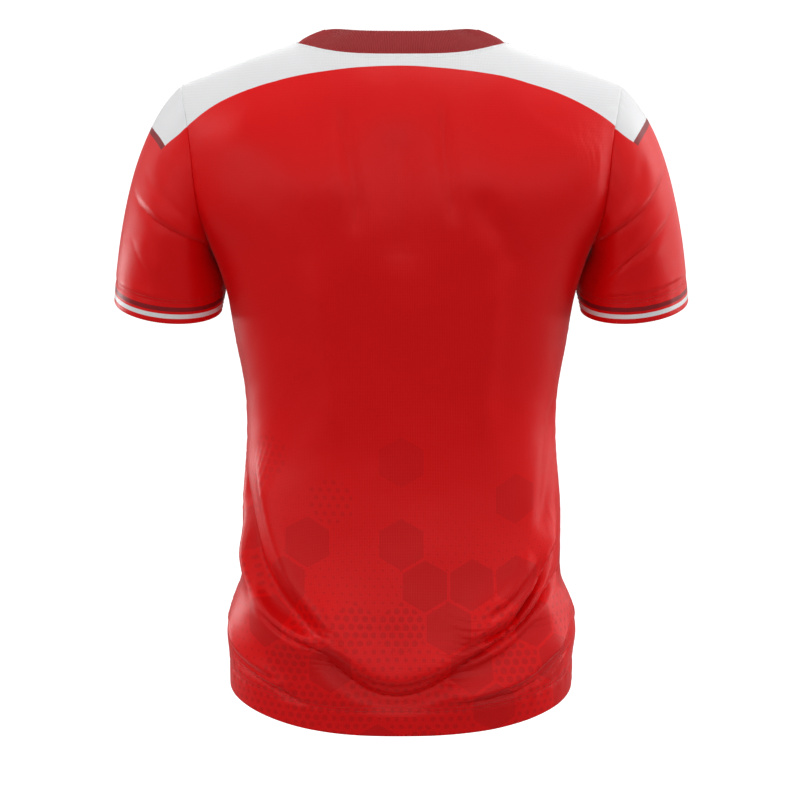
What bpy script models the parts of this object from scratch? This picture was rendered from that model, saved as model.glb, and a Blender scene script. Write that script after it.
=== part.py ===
"""A short-sleeved football jersey, filled out as if worn, with nobody inside it.

Five cut pieces make it: a front, a back, two set-in sleeves and a rib collar. Each piece is
a net of points with a wall put round it. Neighbours share the points of their seam, so they
meet all along it, a narrow gap apart.

The origin is where the wearer's shoulders carry it: midway between the two points where the
shoulder seams meet the collar. The wearer's left is +X, the back is +Y and up is +Z. All
lengths are in metres.
"""

import math

import bpy
import numpy as np

# Cloth
PANEL_WALL = 0.0016
HEM_WALL = 0.0022  # two layers, where the hem is turned up
HEM_DEPTH = 0.025
COLLAR_WALL = 0.0026
SEAM_GAP = 0.0003

# Shoulders: a ridge that falls from the neck to the sleeve seam
SHOULDER_HALF_WIDTH = 0.2145
SHOULDER_FALL = 0.335  # per metre outwards from the neck
SHOULDER_DROOP = 0.30  # added fall, per metre squared
ARCH_SQUARENESS = 2.2  # of the curve from the armpit's height over the shoulder

# Neck opening and collar
NECK_HALF_WIDTH = 0.1015
NECK_ARCH_RISE = 0.020  # the height that the shoulder arch would reach over the neck
BACK_NECK_DROP = 0.0074
BACK_NECK_FLATNESS = (4.0, 2.0)  # along its middle, and where it turns up to the shoulder
FRONT_NECK_DROP = 0.085
FRONT_NECK_FLATNESS = (2.0, 1.0)
COLLAR_WIDTH = 0.029
COLLAR_LEAN_BACK = math.radians(45)  # from upright, towards the middle of the neck
COLLAR_LEAN_SIDE = math.radians(64)
COLLAR_LEAN_FRONT = math.radians(50)
COLLAR_BULGE = 0.0012

# Armholes and hem
ARMPIT_HEIGHT = -0.197
ARMHOLE_SWAY = 0.0018  # how far its side bends out low down, and in near the shoulder
HEM_HEIGHT = -0.639  # at the side seams
BACK_HEM_DROP = 0.0254
FRONT_HEM_DROP = 0.012
HEM_CURVE_POWER = 1.6

# Sleeve opening
CUFF_CENTRE = np.array([0.2328, -0.020, -0.259])
CUFF_HALF_WIDTH = 0.0535
CUFF_HALF_DEPTH = 0.0625
CUFF_RISE_OUT = math.radians(5.9)
CUFF_DROP_BACK = math.radians(9.6)

# Under the arm the sleeve lies close to the body: how far it bulges towards it, at which turn
# round the arm and how wide, and the shares of its length over which it does so
PRESS_DEPTH = 0.0095
PRESS_TURN = 1.94
PRESS_SPREAD = 0.12
PRESS_RISE, PRESS_FALL = 0.45, 0.48

# Net sizes
SHOULDER_COLUMNS = 9
BACK_NECK_COLUMNS = 20
FRONT_NECK_COLUMNS = 12
SKIRT_ROWS = 14  # from the hem to SKIRT_TOP
SKIRT_TOP = -0.50
WAIST_ROWS = 11  # from there to the armpit
YOKE_ROWS = 13  # from the armpit to the shoulder
YOKE_ROW_SPREAD = 1.4  # above 1 it draws the rows together at the armpit
SLEEVE_ROWS = 11
SLEEVE_TURN_SPREAD = 0.9
COLLAR_ROWS = 3
FOLD_STEPS = 48

# Folds fade out over these lengths, or shares of a length
FOLD_END = 0.25
PANEL_EDGE_FADE = 0.030
ARMHOLE_FADE = 0.20
CUFF_FADE = 0.15

STEEPEST_SEAM = 0.35  # the least that a net's lines cross a seam, as a sine
SHARP_EDGE = math.radians(50)


def table(columns, rows):
    """A table as named columns."""
    return {
        name: np.array(values) for name, values in zip(columns.split(), zip(*rows))
    }


# The body's section at each height: a rounded oval with its own depth to the back and front
TORSO = table(
    "height half_width back front squareness",
    [
        (-0.690, 0.1700, 0.121, 0.110, 2.5),
        (-0.640, 0.1728, 0.123, 0.111, 2.5),
        (-0.610, 0.1730, 0.125, 0.111, 2.5),
        (-0.582, 0.1748, 0.125, 0.110, 2.5),
        (-0.558, 0.1700, 0.121, 0.108, 2.5),
        (-0.533, 0.1608, 0.115, 0.106, 2.4),
        (-0.500, 0.1592, 0.107, 0.105, 2.4),
        (-0.455, 0.1584, 0.099, 0.107, 2.4),
        (-0.385, 0.1536, 0.095, 0.111, 2.3),
        (-0.345, 0.1546, 0.097, 0.114, 2.3),
        (-0.290, 0.1638, 0.104, 0.118, 2.3),
        (-0.235, 0.1738, 0.113, 0.120, 2.4),
        (-0.197, 0.1875, 0.118, 0.119, 2.4),
        (-0.150, 0.2172, 0.121, 0.117, 2.4),
        (-0.100, 0.2350, 0.121, 0.113, 2.4),
        (-0.040, 0.2480, 0.120, 0.110, 2.4),
        (0.030, 0.2500, 0.120, 0.110, 2.4),
    ],
)

# How the sleeve leaves the armhole and reaches the cuff. A turn of 0 is under the arm, 0.5
# behind it, 1 on the shoulder and 1.5 before it. The first three numbers are the cloth's
# direction and reach at the armhole; the last is its reach at the cuff.
SLEEVE_FLOW = table(
    "turn out back up cuff_reach",
    [
        (0.00, 0.016, -0.030, -0.050, 0.040),
        (0.25, 0.066, 0.013, -0.082, 0.087),
        (0.50, 0.110, 0.015, -0.120, 0.130),
        (0.75, 0.130, 0.010, -0.120, 0.180),
        (1.00, 0.150, 0.000, -0.132, 0.200),
        (1.25, 0.130, -0.030, -0.120, 0.180),
        (1.50, 0.110, -0.045, -0.120, 0.130),
        (1.75, 0.056, -0.036, -0.086, 0.072),
        (2.00, 0.016, -0.030, -0.050, 0.040),
    ],
)

# The largest folds. Each runs through three places, given as the distance along the cloth
# from the panel's middle line (+ to the wearer's left) and the height. It stands out by
# rise, or sinks by a negative one, and fades over its upper and its lower width.
FOLDS = table(
    "panel from_mid from_height by_mid by_height to_mid to_height rise upper_width lower_width",
    [
        ("back", 0.172, -0.370, 0.126, -0.492, 0.050, -0.575, 0.005, 0.030, 0.011),
        ("back", 0.205, -0.430, 0.160, -0.530, 0.080, -0.580, -0.004, 0.016, 0.014),
        ("back", 0.120, -0.562, 0.020, -0.604, -0.060, -0.592, 0.007, 0.026, 0.012),
        ("back", -0.030, -0.600, -0.120, -0.546, -0.185, -0.480, 0.006, 0.026, 0.011),
        ("back", 0.240, -0.565, 0.170, -0.597, 0.080, -0.620, 0.003, 0.022, 0.012),
        ("back", -0.075, -0.620, -0.170, -0.592, -0.240, -0.560, 0.004, 0.022, 0.012),
        ("front", 0.185, -0.400, 0.130, -0.510, 0.040, -0.575, 0.004, 0.028, 0.012),
        ("front", -0.010, -0.600, -0.120, -0.545, -0.185, -0.430, 0.006, 0.028, 0.012),
        ("front", 0.150, -0.545, 0.070, -0.592, -0.015, -0.606, 0.005, 0.026, 0.012),
        ("front", 0.235, -0.572, 0.165, -0.600, 0.080, -0.618, 0.004, 0.020, 0.012),
        ("front", -0.080, -0.616, -0.165, -0.598, -0.235, -0.566, 0.004, 0.020, 0.012),
    ],
)

# Sleeve folds run through three places, given as the turn round the arm and the share of
# the way from the armhole to the cuff.
SLEEVE_FOLDS = table(
    "sleeve from_turn from_share by_turn by_share to_turn to_share rise width",
    [
        ("left", 0.12, 0.15, 0.50, 0.36, 0.92, 0.38, -0.004, 0.012),
        ("left", 0.16, 0.40, 0.50, 0.50, 0.80, 0.46, 0.004, 0.016),
        ("left", 1.88, 0.20, 1.50, 0.42, 1.15, 0.40, -0.004, 0.014),
        ("right", 0.12, 0.10, 0.50, 0.34, 0.96, 0.41, -0.004, 0.012),
        ("right", 0.18, 0.40, 0.52, 0.46, 0.85, 0.50, 0.004, 0.016),
        ("right", 0.25, 0.62, 0.54, 0.58, 0.82, 0.58, -0.003, 0.010),
        ("right", 1.85, 0.25, 1.48, 0.46, 1.10, 0.46, -0.004, 0.014),
    ],
)

# sRGB colour, roughness and metallic value of each piece
RED, MAROON = (0.78, 0.07, 0.09), (0.56, 0.14, 0.17)
FINISHES = {
    "front": (RED, 0.45, 0.0),
    "back": (RED, 0.45, 0.0),
    "sleeve_left": (RED, 0.45, 0.0),
    "sleeve_right": (RED, 0.45, 0.0),
    "collar": (MAROON, 0.75, 0.0),
}


def blend(start, end, share):
    return start + (end - start) * share


def ease(share):
    share = np.clip(share, 0.0, 1.0)
    return share * share * (3.0 - 2.0 * share)


def bend(start, leave, end, arrive, share):
    """A curve from start to end that leaves and arrives along the given directions."""
    s2, s3 = share**2, share**3
    return (
        (2 * s3 - 3 * s2 + 1) * start
        + (s3 - 2 * s2 + share) * leave
        + (3 * s2 - 2 * s3) * end
        + (s3 - s2) * arrive
    )


def read(rows, key, column, at):
    """A column's value at any place, on a smooth curve through the table's rows."""
    place, value = rows[key], rows[column]
    slope = np.gradient(value, place)
    i = np.clip(np.searchsorted(place, at) - 1, 0, len(place) - 2)
    step = place[i + 1] - place[i]
    share = np.clip((at - place[i]) / step, 0.0, 1.0)
    return bend(value[i], slope[i] * step, value[i + 1], slope[i + 1] * step, share)


def torso(column, height):
    return read(TORSO, "height", column, height)


def unit(vectors):
    length = np.linalg.norm(vectors, axis=-1, keepdims=True)
    return vectors / np.maximum(length, 1e-9)


def ridge_height(x):
    """The shoulder line, and the arch that would join its two halves over the neck."""
    out = np.maximum(np.abs(x) - NECK_HALF_WIDTH, 0.0)
    over_neck = np.clip(1.0 - (x / NECK_HALF_WIDTH) ** 2, 0.0, 1.0)
    return NECK_ARCH_RISE * over_neck - SHOULDER_FALL * out - SHOULDER_DROOP * out**2


def arch(turn):
    """Rise and depth shares at a quarter turn's share, from the armpit's height to the ridge."""
    angle = turn * math.pi / 2
    power = 2.0 / ARCH_SQUARENESS
    return np.sin(angle) ** power, np.maximum(np.cos(angle), 0.0) ** power


def top_edge(back):
    """Where each column ends: its x, and its share of the arch up to the ridge."""
    count = BACK_NECK_COLUMNS if back else FRONT_NECK_COLUMNS
    shoulder = np.linspace(SHOULDER_HALF_WIDTH, NECK_HALF_WIDTH, SHOULDER_COLUMNS + 1)
    across = np.cos(np.linspace(0.0, math.pi, count + 1))
    x = np.concatenate([shoulder[:-1], NECK_HALF_WIDTH * across, -shoulder[-2::-1]])
    drop = BACK_NECK_DROP if back else FRONT_NECK_DROP
    flatness = BACK_NECK_FLATNESS if back else FRONT_NECK_FLATNESS
    inside = np.clip(np.abs(x) / NECK_HALF_WIDTH, 0.0, 1.0)
    neck = -drop * (1.0 - inside ** flatness[0]) ** flatness[1]
    height = np.where(inside >= 1.0, ridge_height(x), neck)
    rise = (height - ARMPIT_HEIGHT) / (ridge_height(x) - ARMPIT_HEIGHT)
    turn = np.arcsin(np.clip(rise, 0.0, 1.0) ** (ARCH_SQUARENESS / 2)) / (math.pi / 2)
    return x, np.where(inside >= 1.0, 1.0, turn)


def panel_net(back):
    """Rows from the hem up, columns round the body: left to right behind, right to left before."""
    side, depth = (1.0, "back") if back else (-1.0, "front")
    x_top, turn_top = top_edge(back)
    around = np.linspace(0.0, math.pi, len(x_top))
    cosine, sine = np.cos(around), np.sin(around)
    sine[[0, -1]] = 0.0

    # The straight part, from the hem to the armpit
    levels = np.concatenate(
        [
            np.linspace(HEM_HEIGHT, SKIRT_TOP, SKIRT_ROWS + 1)[:-1],
            np.linspace(SKIRT_TOP, ARMPIT_HEIGHT, WAIST_ROWS + 1),
        ]
    )[:, None]
    drop = (BACK_HEM_DROP if back else FRONT_HEM_DROP) * sine**HEM_CURVE_POWER
    height = levels - drop * (ARMPIT_HEIGHT - levels) / (ARMPIT_HEIGHT - HEM_HEIGHT)
    power = 2.0 / torso("squareness", height)
    x = torso("half_width", height) * np.sign(cosine) * np.abs(cosine) ** power
    y = torso(depth, height) * sine**power
    rows = list(np.stack([x, y, height], axis=-1))

    # The arched part, from the armpit over the shoulder
    share_low = x[-1] / x[-1, 0]
    share_top = x_top / SHOULDER_HALF_WIDTH
    for k in range(1, YOKE_ROWS + 1):
        level = (k / YOKE_ROWS) ** YOKE_ROW_SPREAD
        rise, _ = arch(level)
        edge = blend(x[-1, 0], SHOULDER_HALF_WIDTH, rise)
        edge += ARMHOLE_SWAY * math.sin(2 * math.pi * rise)
        across = edge * blend(share_low, share_top, ease(level))
        rises, depths = arch(level * turn_top)
        up = blend(ARMPIT_HEIGHT, ridge_height(across), rises)
        squareness = torso("squareness", up)
        inside = 1.0 - np.abs(across / torso("half_width", up)) ** squareness
        out = torso(depth, up) * inside ** (1.0 / squareness) * depths
        rows.append(np.stack([across, out, up], axis=-1))
    net = np.array(rows)
    net[..., 1] *= side
    return net if back else net[:, ::-1]


def is_ring(name):
    return name not in ("back", "front")


def armhole(back, front):
    """The left armhole's points, from under the arm up the back and down the front."""
    low = SKIRT_ROWS + WAIST_ROWS
    behind = back[low:, 0]
    before = front[low:, -1]
    return np.concatenate([behind, before[-2::-1]])


def armhole_turns():
    """The turn round the arm of each armhole point: 0 below, 1 on the shoulder, 2 below."""
    half = (np.arange(YOKE_ROWS + 1) / YOKE_ROWS) ** SLEEVE_TURN_SPREAD
    return np.concatenate([half, 2.0 - half[-2::-1]])


def sleeve_net(ring):
    """Rows from the armhole to the cuff, columns round the arm."""
    turns = armhole_turns()
    outward = np.array([math.cos(CUFF_RISE_OUT), 0.0, math.sin(CUFF_RISE_OUT)])
    backward = np.array([0.0, math.cos(CUFF_DROP_BACK), -math.sin(CUFF_DROP_BACK)])
    down = unit(-np.cross(outward, backward))
    cuff = (
        CUFF_CENTRE
        - np.cos(math.pi * turns)[:, None] * CUFF_HALF_WIDTH * outward
        + np.sin(math.pi * turns)[:, None] * CUFF_HALF_DEPTH * backward
    )
    leave = np.stack(
        [read(SLEEVE_FLOW, "turn", name, turns) for name in ("out", "back", "up")], axis=-1
    )
    arrive = read(SLEEVE_FLOW, "turn", "cuff_reach", turns)[:, None] * down
    away = (turns - PRESS_TURN + 1.0) % 2.0 - 1.0
    press = PRESS_DEPTH * np.exp(-((away / PRESS_SPREAD) ** 2))
    rows = []
    for share in np.linspace(0.0, 1.0, SLEEVE_ROWS + 1):
        row = bend(ring, leave, cuff, arrive, share)
        row[:, 0] -= press * ease(share / PRESS_RISE) * ease((1.0 - share) / PRESS_FALL)
        rows.append(row)
    return np.array(rows)


def collar_net(back, front):
    """Rows from the neck seam up, columns round the neck, the last one on the first."""
    ends = slice(SHOULDER_COLUMNS, -SHOULDER_COLUMNS)
    base = np.concatenate([back[-1, ends], front[-1, ends][1:]])
    side = np.abs(base[:, 0]) / NECK_HALF_WIDTH
    middle = np.where(base[:, 1] > 0.0, COLLAR_LEAN_BACK, COLLAR_LEAN_FRONT)
    lean = blend(middle, COLLAR_LEAN_SIDE, ease(side**3))[:, None]
    along = np.roll(base[:-1], -1, axis=0) - np.roll(base[:-1], 1, axis=0)
    along = np.concatenate([along, along[:1]])
    inward = unit(np.stack([-along[:, 1], along[:, 0], np.zeros(len(base))], axis=-1))
    upward = np.array([0.0, 0.0, 1.0])
    rows = []
    for share in np.linspace(0.0, 1.0, COLLAR_ROWS + 1):
        step = COLLAR_WIDTH * share
        bulge = COLLAR_BULGE * math.sin(math.pi * share)
        rows.append(
            base
            + step * (np.cos(lean) * upward + np.sin(lean) * inward)
            + bulge * (np.sin(lean) * upward - np.cos(lean) * inward)
        )
    return np.array(rows)


def net_normals(net, ring):
    """Which way each point faces: out of the garment."""
    padded = np.concatenate([net[:, -2:-1], net, net[:, 1:2]], axis=1) if ring else net
    along = np.gradient(padded, axis=1)
    if ring:
        along = along[:, 1:-1]
    return unit(np.cross(along, np.gradient(net, axis=0)))


def joined_normals(nets):
    """Every piece's normals, made the same where pieces share a point."""
    normals = {name: net_normals(net, is_ring(name)) for name, net in nets.items()}
    points = np.concatenate([net.reshape(-1, 3) for net in nets.values()])
    facing = np.concatenate([normals[name].reshape(-1, 3) for name in nets])
    _, place = np.unique(np.round(points, 6), axis=0, return_inverse=True)
    place = place.reshape(-1)
    summed = np.zeros((place.max() + 1, 3))
    np.add.at(summed, place, facing)
    facing = unit(summed)[place]
    start = 0
    for name, net in nets.items():
        count = net.shape[0] * net.shape[1]
        normals[name] = facing[start : start + count].reshape(net.shape)
        start += count
    return normals


def row_lengths(net):
    """Distance along the cloth of each point from its row's first one."""
    steps = np.linalg.norm(np.diff(net, axis=1), axis=-1)
    return np.concatenate([np.zeros((len(net), 1)), np.cumsum(steps, axis=1)], axis=1)


def rows_of(rows, column, wanted):
    """The table's rows that hold the wanted name, each as named values."""
    for i in np.flatnonzero(rows[column] == wanted):
        yield {name: values[i] for name, values in rows.items()}


def three_places(fold, first, second):
    return np.array(
        [(fold[f"{at}_{first}"], fold[f"{at}_{second}"]) for at in ("from", "by", "to")]
    )


def fold_relief(across, up, path, rise, widths):
    """How far a fold moves each point, from its distance to the fold's curved path.

    widths are those of its upper and its lower side.
    """
    start, middle, end = path
    control = 2 * middle - (start + end) / 2
    share = np.linspace(0.0, 1.0, FOLD_STEPS)[:, None]
    line = (1 - share) ** 2 * start + 2 * share * (1 - share) * control + share**2 * end
    ahead = unit(np.gradient(line, axis=0))
    offset = np.stack([across, up], axis=-1)[..., None, :] - line
    nearest = np.argmin((offset**2).sum(axis=-1), axis=-1)
    offset = np.take_along_axis(offset, nearest[..., None, None], axis=-2)[..., 0, :]
    ahead = ahead[nearest]
    above = ahead[..., 0] * offset[..., 1] - ahead[..., 1] * offset[..., 0]
    above *= np.sign(end[0] - start[0])
    width = np.where(above > 0.0, *widths)
    along = share[nearest, 0]
    fade = ease(along / FOLD_END) * ease((1.0 - along) / FOLD_END)
    return rise * fade * np.exp(-((above / width) ** 2))


def panel_relief(net, name):
    lengths = row_lengths(net)
    middle = lengths[:, [net.shape[1] // 2]]
    across = (middle - lengths) if name == "back" else (lengths - middle)
    relief = np.zeros(across.shape)
    for fold in rows_of(FOLDS, "panel", name):
        path = three_places(fold, "mid", "height")
        widths = (fold["upper_width"], fold["lower_width"])
        relief += fold_relief(across, net[..., 2], path, fold["rise"], widths)
    to_edge = np.minimum(lengths, lengths[:, -1:] - lengths)
    return relief * ease(to_edge / PANEL_EDGE_FADE)


def sleeve_relief(net, sleeve):
    shares = np.linspace(0.0, 1.0, len(net))[:, None] + np.zeros(net.shape[:2])
    turns = armhole_turns() + np.zeros(net.shape[:2])
    half_girth = math.pi * (CUFF_HALF_WIDTH + CUFF_HALF_DEPTH) / 2
    reach = np.linalg.norm(net[-1] - net[0], axis=-1).max()
    scale = np.array([half_girth, reach])
    relief = np.zeros(net.shape[:2])
    for fold in rows_of(SLEEVE_FOLDS, "sleeve", sleeve):
        path = scale * three_places(fold, "turn", "share")
        widths = (fold["width"], fold["width"])
        relief += fold_relief(
            turns * half_girth, shares * reach, path, fold["rise"], widths
        )
    return relief * ease(shares / ARMHOLE_FADE) * ease((1.0 - shares) / CUFF_FADE)


def walled(net, normals, wall):
    """Outer and inner nets, the wall apart. A hem's second layer is on the inside."""
    outer = net + normals * PANEL_WALL / 2
    return outer, outer - normals * wall[..., None]


def inset(net, normals, edge, inner):
    """Moves one edge row of a net inwards, half the seam gap from the seam."""
    seam = unit(np.gradient(net[edge], axis=0))
    across = unit(np.cross(seam, normals[edge]))
    towards = unit(net[inner] - net[edge])
    grip = np.maximum(np.abs((towards * across).sum(axis=-1)), STEEPEST_SEAM)
    return net[edge] + towards * (SEAM_GAP / 2 / grip)[..., None]


def solid(name, net, normals, wall):
    """One closed piece of cloth: outer and inner faces and the rims between them."""
    ring = is_ring(name)
    skins = []
    for skin in walled(net, normals, wall):
        if ring:
            skin[0] = inset(skin, normals, 0, 1)
            skins.append(skin[:, :-1])
            continue
        turned, facing = skin.swapaxes(0, 1), normals.swapaxes(0, 1)
        turned[0] = inset(turned, facing, 0, 1)
        turned[-1] = inset(turned, facing, -1, -2)
        skin[-1] = inset(skin, normals, -1, -2)
        skins.append(skin)
    rows, columns = skins[0].shape[:2]
    count = rows * columns

    def point(layer, row, column):
        return layer * count + row * columns + column % columns

    faces = []
    spans = columns if ring else columns - 1
    for i in range(rows - 1):
        for j in range(spans):
            a, b = point(0, i, j), point(0, i, j + 1)
            c, d = point(0, i + 1, j + 1), point(0, i + 1, j)
            faces += [(a, b, c, d), (a + count, d + count, c + count, b + count)]
    for j in range(spans):
        a, b = point(0, 0, j), point(0, 0, j + 1)
        c, d = point(0, rows - 1, j), point(0, rows - 1, j + 1)
        faces += [(a, a + count, b + count, b), (c, d, d + count, c + count)]
    if not ring:
        for i in range(rows - 1):
            a, b = point(0, i, 0), point(0, i + 1, 0)
            c, d = point(0, i, columns - 1), point(0, i + 1, columns - 1)
            faces += [(a, b, b + count, a + count), (c, c + count, d + count, d)]
    mesh = bpy.data.meshes.new(name)
    mesh.from_pydata(np.concatenate([s.reshape(-1, 3) for s in skins]).tolist(), [], faces)
    mesh.validate()
    mesh.shade_smooth()
    mesh.set_sharp_from_angle(angle=SHARP_EDGE)
    return bpy.data.objects.new(name, mesh)


def hem_walls(net, hem_row):
    """The wall's thickness at each point, thicker where the hem is turned up."""
    steps = np.linalg.norm(np.diff(net, axis=0), axis=-1)
    down = np.concatenate([np.zeros((1, net.shape[1])), np.cumsum(steps, axis=0)])
    from_hem = down if hem_row == 0 else down[-1] - down
    return np.where(from_hem < HEM_DEPTH, HEM_WALL, PANEL_WALL)


def mirrored(net):
    """The right-hand piece: the left one's mirror image, its columns run the other way."""
    return net[:, ::-1] * np.array([-1.0, 1.0, 1.0])


def linear(colour):
    """sRGB values as the linear ones that a material holds."""
    return [v / 12.92 if v <= 0.04045 else ((v + 0.055) / 1.055) ** 2.4 for v in colour]


def finish(obj, colour, roughness, metallic):
    material = bpy.data.materials.new(obj.name)
    material.use_nodes = True
    shader = material.node_tree.nodes["Principled BSDF"]
    shader.inputs["Base Color"].default_value = (*linear(colour), 1.0)
    shader.inputs["Roughness"].default_value = roughness
    shader.inputs["Metallic"].default_value = metallic
    material.diffuse_color = (*linear(colour), 1.0)
    obj.data.materials.append(material)


def jersey_nets():
    back, front = panel_net(back=True), panel_net(back=False)
    sleeve = sleeve_net(armhole(back, front))
    nets = {
        "back": back,
        "front": front,
        "sleeve_left": sleeve,
        "sleeve_right": mirrored(sleeve),
        "collar": collar_net(back, front),
    }
    normals = joined_normals(nets)
    for name in ("back", "front"):
        nets[name] = nets[name] + normals[name] * panel_relief(nets[name], name)[..., None]
    relief = sleeve_relief(sleeve, "left")[..., None]
    nets["sleeve_left"] = sleeve + normals["sleeve_left"] * relief
    relief = sleeve_relief(sleeve, "right")[:, ::-1, None]
    nets["sleeve_right"] = mirrored(sleeve) + normals["sleeve_right"] * relief
    return nets


def main():
    for old in list(bpy.data.objects):
        bpy.data.objects.remove(old, do_unlink=True)
    jersey = bpy.data.collections.new("football_jersey")
    bpy.context.scene.collection.children.link(jersey)
    nets = jersey_nets()
    normals = joined_normals(nets)
    for name, net in nets.items():
        if name == "collar":
            wall = np.full(net.shape[:2], COLLAR_WALL)
        else:
            wall = hem_walls(net, hem_row=0 if name in ("back", "front") else -1)
        obj = solid(name, net, normals[name], wall)
        finish(obj, *FINISHES[name])
        jersey.objects.link(obj)


main()
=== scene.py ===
"""Looks of a short-sleeved football jersey, filled out as if worn, with nobody inside it.

Each cut piece is a net of points over the same surface as its solid, finer and with more
creases, and becomes a thin closed shell. Lengths are in metres, or in millimetres where a
table says so. The wearer's left is +X, the back is +Y and up is +Z.
"""

import math

import bpy
import numpy as np
from mathutils import Euler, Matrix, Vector


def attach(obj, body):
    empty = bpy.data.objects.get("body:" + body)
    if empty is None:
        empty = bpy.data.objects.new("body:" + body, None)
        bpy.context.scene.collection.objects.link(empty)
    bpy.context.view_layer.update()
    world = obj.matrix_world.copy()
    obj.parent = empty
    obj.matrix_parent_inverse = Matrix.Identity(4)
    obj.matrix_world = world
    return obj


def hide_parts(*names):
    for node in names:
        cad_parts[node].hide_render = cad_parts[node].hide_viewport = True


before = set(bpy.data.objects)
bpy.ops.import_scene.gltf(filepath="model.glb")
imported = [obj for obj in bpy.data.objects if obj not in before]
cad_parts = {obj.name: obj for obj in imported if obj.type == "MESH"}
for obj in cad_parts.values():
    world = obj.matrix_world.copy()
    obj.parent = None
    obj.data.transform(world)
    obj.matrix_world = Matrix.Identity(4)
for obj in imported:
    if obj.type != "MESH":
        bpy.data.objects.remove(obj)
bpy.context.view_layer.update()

MM = 0.001

# Cloth
OUTER_FACE = 0.0008  # from the net to the piece's outer skin
PANEL_WALL = 0.0010
HEM_WALL = 0.0021  # two layers, where the hem is turned up
HEM_DEPTH = 0.025
COLLAR_WALL = 0.0024
RIM_STEPS = 3
SEAM_ROUNDNESS = 0.3  # of a rim that lies against another piece, as a share of a half circle

# Shoulders: a ridge that falls from the neck to the sleeve seam
SHOULDER_HALF_WIDTH = 0.2145
SHOULDER_FALL = 0.335  # per metre outwards from the neck
SHOULDER_DROOP = 0.30  # added fall, per metre squared
ARCH_SQUARENESS = 2.2  # of the curve from the armpit's height over the shoulder

# Neck opening and collar
NECK_HALF_WIDTH = 0.1015
NECK_ARCH_RISE = 0.020
NECK_DROP = {"back": 0.0074, "front": 0.085}
NECK_FLATNESS = {"back": (4.0, 2.0), "front": (2.0, 1.0)}
COLLAR_WIDTH = 0.029
COLLAR_LEAN_BACK = math.radians(45)  # from upright, towards the middle of the neck
COLLAR_LEAN_SIDE = math.radians(64)
COLLAR_LEAN_FRONT = math.radians(50)
COLLAR_BULGE = 0.0012
TUCK_IN, TUCK_DOWN = 0.0010, 0.0020  # the collar's lower edge, under the panels' edge
TUCK_END = 0.3  # share of the collar's width over which the tuck ends
RIB_PITCH = 0.0017
RIB_RELIEF = 0.00022

# Armholes and hem
ARMPIT_HEIGHT = -0.197
ARMHOLE_SWAY = 0.0018  # how far its side bends out low down, and in near the shoulder
HEM_HEIGHT = -0.639
HEM_DROP = {"back": 0.0254, "front": 0.012}
HEM_CURVE_POWER = 1.6

# Sleeve opening
CUFF_CENTRE = np.array([0.2328, -0.020, -0.259])
CUFF_HALF_WIDTH = 0.0535
CUFF_HALF_DEPTH = 0.0625
CUFF_RISE_OUT = math.radians(5.9)
CUFF_DROP_BACK = math.radians(9.6)

# Under the arm the sleeve lies close to the body: how far it bulges towards it, at which turn
# round the arm and how wide, and the shares of its length over which it does so
PRESS_DEPTH = 0.0095
PRESS_TURN = 1.94
PRESS_SPREAD = 0.12
PRESS_RISE, PRESS_FALL = 0.45, 0.48

# Net sizes
SHOULDER_COLUMNS = 40
NECK_COLUMNS = 100
SKIRT_ROWS = 120
SKIRT_TOP = -0.50
WAIST_ROWS = 72
YOKE_ROWS = 52
YOKE_ROW_SPREAD = 1.4
SLEEVE_ROWS = 120
SLEEVE_TURN_SPREAD = 0.9
COLLAR_ROWS = 14
COLUMNS_PER_RIB = 6
SEAM_STEPS = np.array([0.10, 0.22, 0.38, 0.62])  # closer lines beside each seam
NECK_START = SHOULDER_COLUMNS + len(SEAM_STEPS)

# Creases fade out over these lengths, or shares of a length
PATH_STEPS = 72
CREASE_END = 0.25
CREASE_REACH = 3.0  # widths beside a crease within which it is worked out
PANEL_EDGE_FADE = 0.018
ARMHOLE_FADE = 0.12
CUFF_FADE = 0.10

# Slight unevenness of hanging cloth: wave lengths, and their heights in millimetres
SWELLS = ((0.16, 0.9), (0.11, 0.6), (0.07, 0.32), (0.045, 0.16), (0.03, 0.08))
SLEEVE_SWELL = 0.6  # as a share of the panels'
SWELL_WAVES = 3  # of each length
SWELL_PITCHES = (0.8, 1.25)  # how their lengths vary
SEEDS = {"back": 11, "front": 23, "sleeve_left": 37, "sleeve_right": 53}

# Seams draw the cloth in, and pucker it beside their stitches
SEAM_GROOVE = 0.0010
SEAM_GROOVE_WIDTH = 0.0009
PUCKER_HEIGHT = 0.00045
PUCKER_LENGTH = 0.013
PUCKER_REACH = 0.010
PUCKER_START = 0.002
PUCKER_WAVES, PUCKER_PEAK = 5, 3.0  # waves, and about their highest sum
PUCKER_PITCHES = (0.6, 1.7)
HEM_DIMPLE = 0.00045
HEM_DIMPLE_WIDTH = 0.0022

# Rows of stitches: distances from the hem's edge, the cuff's edge and the collar's seam
HEM_ROWS = (0.0235, 0.0268)
CUFF_ROWS = (0.0205, 0.0238)
NECK_ROWS = (0.0035, 0.0058)
STITCH = {"Pitch": 0.0030, "Length": 0.0025, "Thickness": 0.00055}

SHARP_EDGE = math.radians(50)


def table(text):
    """Named columns, from lines of numbers under a line of names."""
    names, *rows = [line.split() for line in text.strip().splitlines()]
    return dict(zip(names, np.array(rows, float).T))


def creases(text):
    """Creases as (rise, upper width, lower width, sharpness, places)."""
    made = []
    for crease in text.split(";"):
        form, path = crease.split(":")
        places = [[float(number) for number in place.split()] for place in path.split(",")]
        made.append((*map(float, form.split()), places))
    return made


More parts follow.
